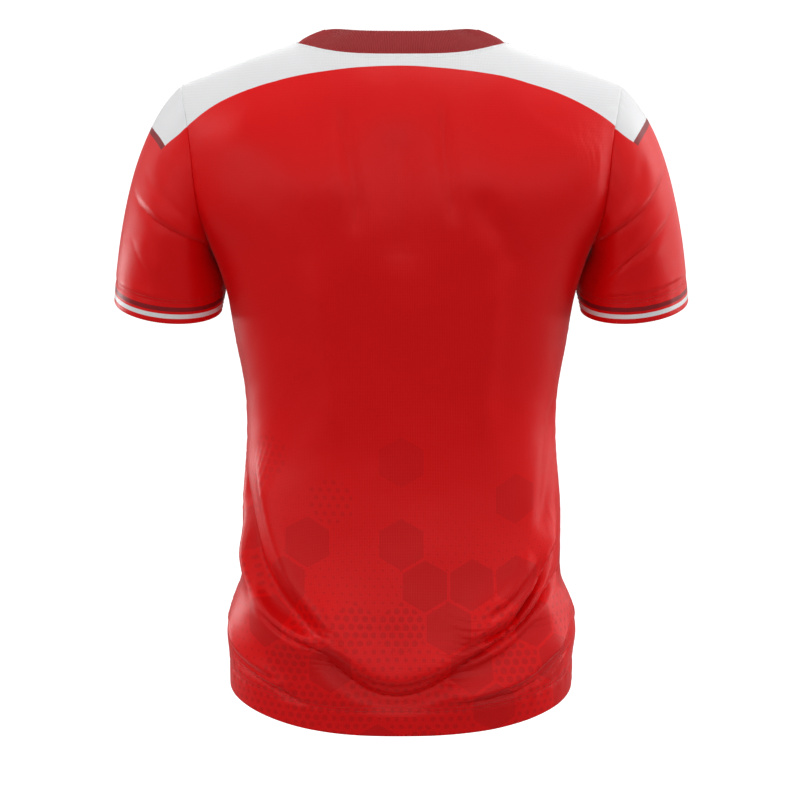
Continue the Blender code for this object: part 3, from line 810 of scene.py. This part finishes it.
def linear(*colour):
    """sRGB values as the linear ones that a material holds."""
    return [v / 12.92 if v <= 0.04045 else ((v + 0.055) / 1.055) ** 2.4 for v in colour] + [1.0]


RED = linear(0.90, 0.018, 0.03)
DEEP_RED = linear(0.74, 0.01, 0.03)
MAROON = linear(0.545, 0.10, 0.125)
WHITE = linear(0.93, 0.93, 0.935)
COLLAR_MAROON = linear(0.66, 0.155, 0.165)
RED_THREAD = linear(0.74, 0.09, 0.11)
WHITE_THREAD = linear(0.95, 0.95, 0.95)
INSIDE_PALENESS = 0.42  # how far the inside's colour is mixed with white

# Sheen: weight, roughness and tint; then the specular level
JERSEY_GLOSS = (0.08, 0.25, (1.0, 0.9, 0.9, 1.0), 0.21)
COLLAR_GLOSS = (0.9, 0.3, (1.0, 0.9, 0.9, 1.0), 0.3)
THREAD_GLOSS = (0.4, 0.3, (1.0, 0.95, 0.95, 1.0), 0.4)

# The tonal design. Its cells thin out upwards, and each is filled or holds dots.
DESIGN_STRENGTH = 0.5
DESIGN_START, DESIGN_FULL = 0.5, 0.6  # distances from a cuff that only the panels' points have
CELLS_LOW, CELLS_HIGH = 0.82, -0.03  # cells kept low down, and what that starts from high up
CELL_REACH = 0.465  # half a cell's height, as a share of the honeycomb's
FILLED_CELLS = 0.34
DOT_RADIUS, DOT_SHRINK = 0.44, -0.22  # shares of the dots' pitch
SPECK_RADIUS = 0.15
SPECK_STRENGTH = 0.8
CELL_STRENGTH_HIGH, CELL_STRENGTH_GAIN = 0.35, 0.65


class Graph:
    """Short forms for the nodes of one material or node group."""

    def __init__(self, tree):
        self.tree = tree

    def node(self, kind, inputs=(), **settings):
        """A new node with its inputs fed, by name or in their order."""
        made = self.tree.nodes.new(kind)
        for name, value in settings.items():
            setattr(made, name, value)
        for place, value in inputs.items() if isinstance(inputs, dict) else enumerate(inputs):
            self.feed(made.inputs[place], value)
        return made

    def take(self, output, kind, inputs=(), **settings):
        """One output of a new node."""
        return self.node(kind, inputs, **settings).outputs[output]

    def feed(self, socket, value):
        if isinstance(value, bpy.types.NodeSocket):
            self.tree.links.new(value, socket)
        else:
            socket.default_value = value

    def calc(self, operation, *values):
        return self.take(0, "ShaderNodeMath", values, operation=operation)

    def vector(self, operation, *values, scale=None):
        made = self.node("ShaderNodeVectorMath", values, operation=operation)
        if scale is not None:
            self.feed(made.inputs["Scale"], scale)
        return made.outputs["Value" if operation in ("LENGTH", "DOT_PRODUCT") else "Vector"]

    def split(self, vector):
        parts = self.node("ShaderNodeSeparateXYZ", {"Vector": vector}).outputs
        return parts["X"], parts["Y"]

    def step(self, value, start, end):
        """0 before start, 1 after end, and a smooth change between them."""
        given = {"Value": value, "From Min": start, "From Max": end}
        return self.take("Result", "ShaderNodeMapRange", given, interpolation_type="SMOOTHSTEP")

    def mix(self, share, first, second):
        given = {0: share, 6: first, 7: second}
        return self.take(2, "ShaderNodeMix", given, data_type="RGBA")

    def attribute(self, name):
        return self.take("Fac", "ShaderNodeAttribute", attribute_name=name)

    def on_cloth(self):
        return self.take("UV", "ShaderNodeUVMap", uv_map="cloth")

    def group(self, tree, inputs):
        return self.node("ShaderNodeGroup", inputs, node_tree=tree).outputs


def shader_group(name, numbers, **outputs):
    """An empty shader group with a place, some numbers and named outputs of the given kinds.

    Gives its Graph, its inputs and its outputs.
    """
    tree = bpy.data.node_groups.new(name, "ShaderNodeTree")
    tree.interface.new_socket("Place", in_out="INPUT", socket_type="NodeSocketVector")
    for label, value in numbers.items():
        socket = tree.interface.new_socket(label, in_out="INPUT", socket_type="NodeSocketFloat")
        socket.default_value = value
    for label, kind in outputs.items():
        tree.interface.new_socket(label, in_out="OUTPUT", socket_type=f"NodeSocket{kind}")
    graph = Graph(tree)
    return graph, graph.node("NodeGroupInput").outputs, graph.node("NodeGroupOutput").inputs


def knit_group():
    """A fine bird's-eye knit: loops in staggered rows, with a small gap between them."""
    sizes = {"Wale": 0.0016, "Course": 0.0014}
    graph, given, out = shader_group("fine_knit", sizes, Height="Float", Gap="Float")
    x, y = graph.split(given["Place"])
    wale = graph.calc("DIVIDE", x, given["Wale"])
    course = graph.calc("DIVIDE", y, given["Course"])
    slants = [
        graph.calc("COSINE", graph.calc("MULTIPLY", graph.calc(way, wale, course), math.pi))
        for way in ("ADD", "SUBTRACT")
    ]
    lattice = graph.calc("MULTIPLY", *slants)
    graph.feed(out["Height"], lattice)
    graph.feed(out["Gap"], graph.step(lattice, -0.35, -0.95))
    return graph.tree


def honeycomb_group():
    """Hexagonal cells: the place within the cell, the cell's centre, and the edge's nearness."""
    graph, given, out = shader_group(
        "honeycomb", {"Cell": 0.05}, Within="Vector", Centre="Vector", Edge="Float"
    )
    place = graph.vector("SCALE", given["Place"], scale=graph.calc("DIVIDE", 1.0, given["Cell"]))
    repeat, half = (1.0, math.sqrt(3.0), 1.0), (0.5, math.sqrt(3.0) / 2, 0.5)
    found = []
    for start in (place, graph.vector("SUBTRACT", place, half)):
        wrapped = graph.vector("WRAP", start, repeat, (0, 0, 0))
        centred = graph.vector("SUBTRACT", wrapped, half)
        found.append(graph.vector("MULTIPLY", centred, (1.0, 1.0, 0.0)))
    even, odd = found
    nearer = graph.calc("LESS_THAN", graph.vector("LENGTH", even), graph.vector("LENGTH", odd))
    within = graph.take(1, "ShaderNodeMix", {0: nearer, 4: odd, 5: even}, data_type="VECTOR")
    size = graph.vector("ABSOLUTE", within)
    slanted = graph.vector("DOT_PRODUCT", size, (0.5, math.sqrt(3.0) / 2, 0.0))
    graph.feed(out["Within"], graph.vector("SCALE", within, scale=given["Cell"]))
    graph.feed(out["Centre"], graph.vector("SUBTRACT", place, within))
    graph.feed(out["Edge"], graph.calc("MAXIMUM", graph.split(size)[0], slanted))
    return graph.tree


def tonal_group(honeycomb):
    """A plain tonal pattern of hexagons and round dots that thins out upwards."""
    sizes = {"Cell": 0.046, "Dot Pitch": 0.0088, "Fade Bottom": -0.58, "Fade Top": -0.335}
    graph, given, out = shader_group("tonal_hexagons", sizes, Mask="Float")
    cells = graph.group(honeycomb, {"Place": given["Place"], "Cell": given["Cell"]})
    centre = graph.vector("MULTIPLY", cells["Centre"], (2.0, 2.0 / math.sqrt(3.0), 0.0))
    centre = graph.vector("FLOOR", graph.vector("ADD", centre, (0.5, 0.5, 0.5)))
    chance = graph.node("ShaderNodeTexWhiteNoise", {"Vector": centre}).outputs
    row_height = graph.calc("MULTIPLY", graph.split(cells["Centre"])[1], given["Cell"])
    density = graph.step(row_height, given["Fade Top"], given["Fade Bottom"])
    threshold = graph.calc("MULTIPLY_ADD", density, CELLS_LOW, CELLS_HIGH)
    kept = graph.calc("LESS_THAN", chance["Value"], threshold)
    kind = graph.take("Green", "ShaderNodeSeparateColor", {"Color": chance["Color"]})

    solid = graph.calc("LESS_THAN", cells["Edge"], CELL_REACH)
    dots = graph.group(honeycomb, {"Place": given["Place"], "Cell": given["Dot Pitch"]})
    away = graph.calc("DIVIDE", graph.vector("LENGTH", dots["Within"]), given["Dot Pitch"])
    radius = graph.calc("MULTIPLY_ADD", kind, DOT_SHRINK, DOT_RADIUS)
    dotted = graph.calc("LESS_THAN", away, radius)
    filled = graph.calc("LESS_THAN", kind, FILLED_CELLS)
    inside = graph.calc("MULTIPLY", solid, graph.calc("MAXIMUM", filled, dotted))
    block = graph.calc("MULTIPLY", inside, kept)

    fade = graph.step(graph.split(given["Place"])[1], given["Fade Top"], given["Fade Bottom"])
    specks = graph.calc("LESS_THAN", away, graph.calc("MULTIPLY", fade, SPECK_RADIUS))
    strength = graph.calc("MULTIPLY_ADD", density, CELL_STRENGTH_GAIN, CELL_STRENGTH_HIGH)
    both = graph.calc("MULTIPLY", block, strength)
    specks = graph.calc("MULTIPLY", specks, SPECK_STRENGTH)
    graph.feed(out["Mask"], graph.calc("MAXIMUM", both, specks))
    return graph.tree


def print_group(tonal):
    """The jersey's printed colours, from the distances to their edges."""
    edges = {"Yoke Side": 0.0, "Yoke Reach": FAR, "From Cuff": FAR}
    graph, given, out = shader_group("jersey_print", edges, Colour="Color")

    def past(edge, place, direction=1):
        """1 where the distance from an edge is over, or with direction -1 under, a place."""
        soft = direction * EDGE_SOFTNESS
        return graph.step(given[edge], place - soft, place + soft)

    design = graph.group(tonal, {"Place": given["Place"]})["Mask"]
    on_panel = graph.step(given["From Cuff"], DESIGN_START, DESIGN_FULL)
    design = graph.calc("MULTIPLY", graph.calc("MULTIPLY", design, on_panel), DESIGN_STRENGTH)
    colour = graph.mix(design, RED, DEEP_RED)
    side = past("Yoke Side", 0.0)
    taped = past("Yoke Reach", -TIP_TAPE)
    colour = graph.mix(graph.calc("MULTIPLY", side, taped), colour, MAROON)
    white = graph.calc("MULTIPLY", side, past("Yoke Reach", 0.0))
    colour = graph.mix(white, colour, WHITE)
    for (start, end), tint in zip(CUFF_STRIPES, (WHITE, MAROON)):
        stripe = graph.calc("MULTIPLY", past("From Cuff", start), past("From Cuff", end, -1))
        colour = graph.mix(stripe, colour, tint)
    graph.feed(out["Colour"], colour)
    return graph.tree


def tone_and_gap_shade_group():
    """Slight unevenness of a dyed cloth, times painted shade in the gaps that the Gap mask marks,
    as a factor on its colour.
    """
    gaps = {"Gap": 0.0, "Gap Shade": 0.12}
    graph, given, out = shader_group("tone_and_gap_shade", gaps, Tone="Float")
    broad, fine = [
        graph.take("Fac", "ShaderNodeTexNoise", {"Vector": given["Place"], "Scale": scale})
        for scale in (14.0, 900.0)
    ]
    tone = graph.calc("SUBTRACT", graph.calc("MULTIPLY_ADD", broad, 0.06, 0.95), 0.025)
    tone = graph.calc("MULTIPLY_ADD", fine, 0.05, tone)
    # Painted shade: the colour is darkened in the gaps by the Gap Shade share.
    shade = graph.calc("MULTIPLY", given["Gap"], given["Gap Shade"])
    graph.feed(out["Tone"], graph.calc("MULTIPLY", tone, graph.calc("SUBTRACT", 1.0, shade)))
    return graph.tree


def new_material(name, gloss):
    """A material with constant sheen and specular levels, and its Graph."""
    material = bpy.data.materials.new(name)
    material.use_nodes = True
    sockets = material.node_tree.nodes["Principled BSDF"].inputs
    labels = ("Sheen Weight", "Sheen Roughness", "Sheen Tint", "Specular IOR Level")
    for label, value in zip(labels, gloss):
        sockets[label].default_value = value
    return material, Graph(material.node_tree)


def surface(graph, colour, tone, roughness, relief):
    """Feeds a material: a colour times a tone, uneven roughness, and relief.

    roughness is a mask, its share and the least value. relief is a height, its strength and
    its depth.
    """
    sockets = graph.tree.nodes["Principled BSDF"].inputs
    if not isinstance(colour, bpy.types.NodeSocket):
        colour = colour[:3]
    graph.feed(sockets["Base Color"], graph.vector("SCALE", colour, scale=tone))
    graph.feed(sockets["Roughness"], graph.calc("MULTIPLY_ADD", *roughness))
    height, strength, depth = relief
    bump = {"Strength": strength, "Distance": depth, "Height": height}
    graph.feed(sockets["Normal"], graph.take("Normal", "ShaderNodeBump", bump))


def jersey_material(name, knit, prints, tones_and_shade, inside):
    """The printed cloth's outer face, or its paler inner face."""
    material, graph = new_material(name, JERSEY_GLOSS)
    place = graph.on_cloth()
    loops = graph.group(knit, {"Place": place})
    edges = {
        "Yoke Side": graph.attribute("yoke_side"),
        "Yoke Reach": graph.attribute("yoke_reach"),
        "From Cuff": graph.attribute("from_cuff"),
    }
    colour = graph.group(prints, {"Place": place, **edges})["Colour"]
    if inside:
        colour = graph.mix(INSIDE_PALENESS, colour, WHITE)
    gap = loops["Gap"]
    # Painted shade: the knit's gaps between its loops are darkened by the Gap Shade share.
    tone = graph.group(tones_and_shade, {"Place": place, "Gap": gap, "Gap Shade": 0.16})["Tone"]
    surface(graph, colour, tone, (gap, 0.12, 0.38), (loops["Height"], 0.35, 0.00012))
    return material


def collar_material(knit, tones_and_shade):
    material, graph = new_material("collar_rib", COLLAR_GLOSS)
    place = graph.on_cloth()
    loops = graph.group(knit, {"Place": place, "Wale": 0.00085, "Course": 0.0011})
    groove = graph.attribute("groove")
    # Painted shade: the rib's grooves are darkened by the Gap Shade share, besides their real
    # relief.
    tone = graph.group(tones_and_shade, {"Place": place, "Gap": groove, "Gap Shade": 0.25})["Tone"]
    surface(graph, COLLAR_MAROON, tone, (groove, 0.2, 0.55), (loops["Height"], 0.4, 0.0001))
    return material


def thread_material(name, colour):
    material, graph = new_material(name, THREAD_GLOSS)
    place = graph.take("Object", "ShaderNodeTexCoord")
    twist = {"Vector": place, "Scale": 900.0, "Distortion": 1.5}
    ply = graph.take("Fac", "ShaderNodeTexWave", twist)
    tone = graph.calc("MULTIPLY_ADD", ply, 0.22, 0.84)
    surface(graph, colour, tone, (ply, 0.1, 0.45), (ply, 0.4, 0.0001))
    return material


# ---- Stitches ----


def stitch_tree():
    """Geometry nodes that lay one short stitch after another along a line of edges."""
    tree = bpy.data.node_groups.new("stitch_row", "GeometryNodeTree")
    tree.interface.new_socket("Geometry", in_out="INPUT", socket_type="NodeSocketGeometry")
    for label, value in STITCH.items():
        socket = tree.interface.new_socket(label, in_out="INPUT", socket_type="NodeSocketFloat")
        socket.default_value = value
    tree.interface.new_socket("Thread", in_out="INPUT", socket_type="NodeSocketMaterial")
    tree.interface.new_socket("Geometry", in_out="OUTPUT", socket_type="NodeSocketGeometry")
    graph = Graph(tree)
    given = graph.node("NodeGroupInput").outputs
    curve = graph.take("Curve", "GeometryNodeMeshToCurve", {"Mesh": given["Geometry"]})
    spaced = {"Curve": curve, "Length": given["Pitch"]}
    spaced = graph.take("Curve", "GeometryNodeResampleCurve", spaced, mode="LENGTH")
    bead = {"Segments": 6, "Rings": 4, "Radius": 0.5}
    bead = graph.take("Mesh", "GeometryNodeMeshUVSphere", bead)
    size = {"X": given["Length"], "Y": given["Thickness"], "Z": given["Thickness"]}
    size = graph.take("Vector", "ShaderNodeCombineXYZ", size)
    stitch = graph.take("Geometry", "GeometryNodeTransform", {"Geometry": bead, "Scale": size})
    facing = graph.take(
        "Attribute",
        "GeometryNodeInputNamedAttribute",
        {"Name": "facing"},
        data_type="FLOAT_VECTOR",
    )
    ahead = graph.take("Tangent", "GeometryNodeInputTangent")
    turn = graph.take(
        "Rotation",
        "FunctionNodeAxesToRotation",
        {"Primary Axis": ahead, "Secondary Axis": facing},
        primary_axis="X",
        secondary_axis="Z",
    )
    laid = {"Points": spaced, "Instance": stitch, "Rotation": turn}
    laid = graph.take("Instances", "GeometryNodeInstanceOnPoints", laid)
    real = graph.take("Geometry", "GeometryNodeRealizeInstances", {"Geometry": laid})
    smooth = graph.take("Geometry", "GeometryNodeSetShadeSmooth", {"Geometry": real})
    sewn = {"Geometry": smooth, "Material": given["Thread"]}
    sewn = graph.take("Geometry", "GeometryNodeSetMaterial", sewn)
    graph.node("NodeGroupOutput", {"Geometry": sewn})
    return tree


def stitches(name, lines, tree, thread):
    """Rows of stitches along the lines, as one plain mesh object."""
    points = np.concatenate([line for line, _ in lines])
    facing = np.concatenate([turned for _, turned in lines])
    edges, start = [], 0
    for line, _ in lines:
        edges += [(start + i, start + i + 1) for i in range(len(line) - 1)]
        start += len(line)
    guide = bpy.data.meshes.new(name)
    guide.from_pydata(points.tolist(), edges, [])
    attribute = guide.attributes.new("facing", "FLOAT_VECTOR", "POINT")
    attribute.data.foreach_set("vector", facing.astype(np.float32).ravel())
    obj = placed(name, guide)
    modifier = obj.modifiers.new("stitch_row", "NODES")
    modifier.node_group = tree
    named = {s.name: s.identifier for s in tree.interface.items_tree if s.in_out == "INPUT"}
    for label, value in {**STITCH, "Thread": thread}.items():
        modifier[named[label]] = value
    bpy.context.view_layer.update()
    evaluated = obj.evaluated_get(bpy.context.evaluated_depsgraph_get())
    mesh = bpy.data.meshes.new_from_object(evaluated)
    obj.modifiers.clear()
    obj.data = mesh
    mesh.materials.clear()
    mesh.materials.append(thread)
    bpy.data.meshes.remove(guide)
    return obj


# ---- Pieces ----


def body_nets():
    """The nets of the panels and sleeves with their creases, and each point's places."""
    back, front = panel_net("back"), panel_net("front")
    sleeve = sleeve_net(armhole(back, front))
    right = mirrored(sleeve)
    nets = {"back": back, "front": front, "sleeve_left": sleeve, "sleeve_right": right}
    normals = joined_normals(nets)
    plain = sleeve_places(sleeve)
    places = {}
    for name, net in nets.items():
        if is_ring(name):
            relief = sleeve_relief(plain, name, SEEDS[name])
            places[name] = {**plain, **sleeve_print(sleeve, plain, name)}
        else:
            places[name] = panel_places(net, name)
            places[name].update(panel_print(places[name], name))
            relief = panel_relief(places[name], name, SEEDS[name])
        if name == "sleeve_right":
            relief = relief[:, ::-1]
            for key, value in places[name].items():
                places[name][key] = value[:, ::-1] if np.ndim(value) == 2 else value
        nets[name] = net + normals[name] * relief[..., None]
    return nets, places


def neck_line(nets):
    """The neck seam's points, from the left shoulder round the back, and how far along."""
    ends = slice(NECK_START, -NECK_START)
    line = np.concatenate([nets["back"][-1, ends], nets["front"][-1, ends][1:]])
    steps = np.linalg.norm(np.diff(line, axis=0), axis=1)
    return line, np.concatenate([[0], np.cumsum(steps)])


def collar_net(base):
    """Rows from under the panels' edge up, columns round the neck, the last one on the first."""
    side = np.clip(np.abs(base[:, 0]) / NECK_HALF_WIDTH, 0.0, 1.0)
    middle = np.where(base[:, 1] > 0.0, COLLAR_LEAN_BACK, COLLAR_LEAN_FRONT)
    lean = blend(middle, COLLAR_LEAN_SIDE, ease(side**3))[:, None]
    span = 2 * COLUMNS_PER_RIB
    along = np.roll(base[:-1], -span, axis=0) - np.roll(base[:-1], span, axis=0)
    along = np.concatenate([along, along[:1]])
    inward = unit(np.stack([-along[:, 1], along[:, 0], np.zeros(len(base))], axis=-1))
    upward = np.array([0.0, 0.0, 1.0])
    rise = np.cos(lean) * upward + np.sin(lean) * inward
    face = np.sin(lean) * upward - np.cos(lean) * inward
    rows = []
    for share in np.linspace(0.0, 1.0, COLLAR_ROWS + 1):
        step = blend(-TUCK_DOWN, COLLAR_WIDTH, share)
        bulge = COLLAR_BULGE * math.sin(math.pi * share)
        bulge -= TUCK_IN * (1 - ease(share / TUCK_END))
        rows.append(base + step * rise + bulge * face)
    return np.array(rows)


def dressed(obj, node, materials):
    """Gives a finished piece its materials and its place in the part."""
    for material in materials:
        obj.data.materials.append(material)
    if node:
        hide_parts(node)
    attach(obj, "root")
    return obj


def build_cloth(name, net, normals, spots, materials):
    """One panel or sleeve."""
    fields = {field: spots[field] for field in ("yoke_side", "yoke_reach", "from_cuff")}
    if is_ring(name):
        from_edge, roundness = spots["from_cuff"], (SEAM_ROUNDNESS, 1.0)
        inner_fields = {"from_cuff": FAR}
        flat = [spots["turn"] * spots["half_girth"], spots["from_armhole"]]
    else:
        from_edge, roundness = spots["from_hem"], (1.0, SEAM_ROUNDNESS)
        inner_fields = None
        flat = [spots["across"], spots["up"]]
    wall = np.where(from_edge < HEM_DEPTH, HEM_WALL, PANEL_WALL)
    flat = np.stack(flat, axis=-1)
    mesh = shell(name, net, normals, wall, fields, flat, roundness, inner_fields)
    return dressed(placed(f"{name}_cloth", mesh), name, materials)


def build_collar(nets, material):
    """The collar's band, with its ribs."""
    line, at = neck_line(nets)
    columns = round(at[-1] / RIB_PITCH) * COLUMNS_PER_RIB
    even = np.linspace(0.0, at[-1], columns + 1)
    base = np.stack([np.interp(even, at, line[:, k]) for k in range(3)], axis=-1)
    net = collar_net(base)
    facing = net_normals(net, True)
    phase = np.arange(net.shape[1]) / COLUMNS_PER_RIB * 2 * math.pi
    rib = np.broadcast_to(np.cos(phase), net.shape[:2])
    swollen = RIB_RELIEF * rib
    wall = COLLAR_WALL + 2 * swollen
    lifted = net + facing * (COLLAR_WALL / 2 - OUTER_FACE + swollen)[..., None]
    flat = np.stack([lengths_along(net, 1), lengths_along(net, 0)], axis=-1)
    # groove marks where the ribs sink; the collar's material paints shade there.
    mesh = shell("collar", lifted, facing, wall, {"groove": 0.5 - 0.5 * rib}, flat, (0.5, 1.0))
    mesh.polygons.foreach_set("material_index", [0] * len(mesh.polygons))
    return dressed(placed("collar_band", mesh), "collar", [material])


def build_stitches(nets, normals, places):
    """The stitches of each piece's hem, and of the panels' neck edge."""
    tree = stitch_tree()
    white_thread = thread_material("white_thread", WHITE_THREAD)
    red_thread = thread_material("red_thread", RED_THREAD)
    neck_columns = range(NECK_START - 1, NECK_START + NECK_COLUMNS + 2)
    sewn = {}
    for name, net in nets.items():
        every = range(net.shape[1])
        hem = ("hem", "from_hem", HEM_ROWS, every, red_thread)
        cuff = ("hem", "from_cuff", CUFF_ROWS, every, red_thread)
        neck = ("neck", "from_top", NECK_ROWS, neck_columns, white_thread)
        sewn[name] = []
        for edge, field, distances, columns, thread in [cuff] if is_ring(name) else [hem, neck]:
            spots = places[name][field]
            rows = [row_at(net, normals[name], spots, d, columns) for d in distances]
            made = stitches(f"{name}_{edge}_stitches", rows, tree, thread)
            sewn[name].append(dressed(made, None, []))
    return sewn


def build_jersey():
    knit, tones_and_shade = knit_group(), tone_and_gap_shade_group()
    prints = print_group(tonal_group(honeycomb_group()))
    faces = [
        jersey_material("jersey_knit", knit, prints, tones_and_shade, inside=False),
        jersey_material("jersey_inside", knit, prints, tones_and_shade, inside=True),
    ]
    nets, places = body_nets()
    normals = joined_normals(nets)
    pieces = {
        name: build_cloth(name, net, normals[name], places[name], faces)
        for name, net in nets.items()
    }
    pieces["collar"] = build_collar(nets, collar_material(knit, tones_and_shade))
    sewn = build_stitches(nets, normals, places)


# ---- Floor, light and camera ----

FLOOR_HEIGHT = -1.40
FLOOR_HALF_WIDTH = 150.0
FLOOR_GREY = (0.35, 0.35, 0.35, 1.0)
PURE_WHITE = (1.0, 1.0, 1.0, 1.0)
ROOM_LIGHT = 0.42

# Softboxes: place, what each is aimed at, width and height, and power
MIDDLE, LOW = (0.0, 0.0, -0.33), (0.0, 0.0, -0.53)
SOFTBOXES = {
    "left": ((2.4, -0.8, 0.35), MIDDLE, (0.8, 1.0), 5.0),
    "high_left": ((2.5, 0.0, 1.4), MIDDLE, (0.8, 0.8), 15.0),
    "right": ((-2.4, -0.8, 0.60), MIDDLE, (0.8, 1.0), 19.0),
    "high_right": ((-2.5, 0.0, 1.4), MIDDLE, (0.8, 0.8), 12.0),
    "low_left": ((1.8, -1.2, -0.50), LOW, (0.9, 0.34), 9.0),
    "low_right": ((-2.0, -0.5, -0.50), LOW, (0.9, 0.34), 5.0),
    "rim_right": ((-1.7, -1.8, 0.0), MIDDLE, (0.6, 1.4), 4.0),
    "top": ((-0.3, 0.4, 2.4), MIDDLE, (2.0, 1.2), 19.0),
    "behind": ((-0.3, 3.6, 1.0), MIDDLE, (3.4, 2.0), 23.0),
    "behind_left": ((2.6, 2.4, 0.2), MIDDLE, (1.4, 1.4), 14.0),
    "behind_right": ((-2.6, 2.4, 0.2), MIDDLE, (1.4, 1.4), 7.0),
    "before": ((0.0, -2.8, 1.2), MIDDLE, (2.0, 2.0), 20.0),
}

CAMERA_PLACE = (0.0, 2.6, 0.10)
CAMERA_TILT = 9.9  # degrees, downwards
CAMERA_LENS = 118.8
CAMERA_SHIFT = -0.0016


def build_floor():
    mesh = bpy.data.meshes.new("floor")
    w = FLOOR_HALF_WIDTH
    corners = [(-w, -w), (w, -w), (w, w), (-w, w)]
    mesh.from_pydata([(x, y, FLOOR_HEIGHT) for x, y in corners], [], [(0, 1, 2, 3)])
    floor = placed("floor", mesh)
    material = bpy.data.materials.new("pale_floor")
    material.use_nodes = True
    sockets = material.node_tree.nodes["Principled BSDF"].inputs
    sockets["Base Color"].default_value = FLOOR_GREY
    sockets["Roughness"].default_value = 1.0
    sockets["Specular IOR Level"].default_value = 0.0
    # Seen from the camera the floor is white, yet it lights the jersey as a grey one
    graph = Graph(material.node_tree)
    seen = graph.take("Is Camera Ray", "ShaderNodeLightPath")
    graph.feed(sockets["Emission Strength"], seen)
    sockets["Emission Color"].default_value = PURE_WHITE
    mesh.materials.append(material)


def build_light():
    world = bpy.data.worlds.new("studio")
    world.use_nodes = True
    sockets = world.node_tree.nodes["Background"].inputs
    sockets["Color"].default_value = PURE_WHITE
    sockets["Strength"].default_value = ROOM_LIGHT
    bpy.context.scene.world = world
    for name, (place, target, size, power) in SOFTBOXES.items():
        light = bpy.data.lights.new(f"softbox_{name}", "AREA")
        light.shape = "RECTANGLE"
        light.size, light.size_y = size
        light.energy = power
        obj = placed(light.name, light)
        obj.location = place
        aim = Vector(target) - Vector(place)
        obj.rotation_euler = aim.to_track_quat("-Z", "Y").to_euler()


def build_camera():
    camera = bpy.data.cameras.new("camera")
    camera.sensor_width = 36.0
    camera.lens = CAMERA_LENS
    camera.shift_x = CAMERA_SHIFT
    obj = placed("camera", camera)
    obj.location = CAMERA_PLACE
    obj.rotation_euler = Euler((math.radians(90 - CAMERA_TILT), 0.0, math.pi))
    bpy.context.scene.camera = obj
    bpy.context.scene.view_settings.view_transform = "Standard"


build_camera()
build_jersey()
build_floor()
build_light()
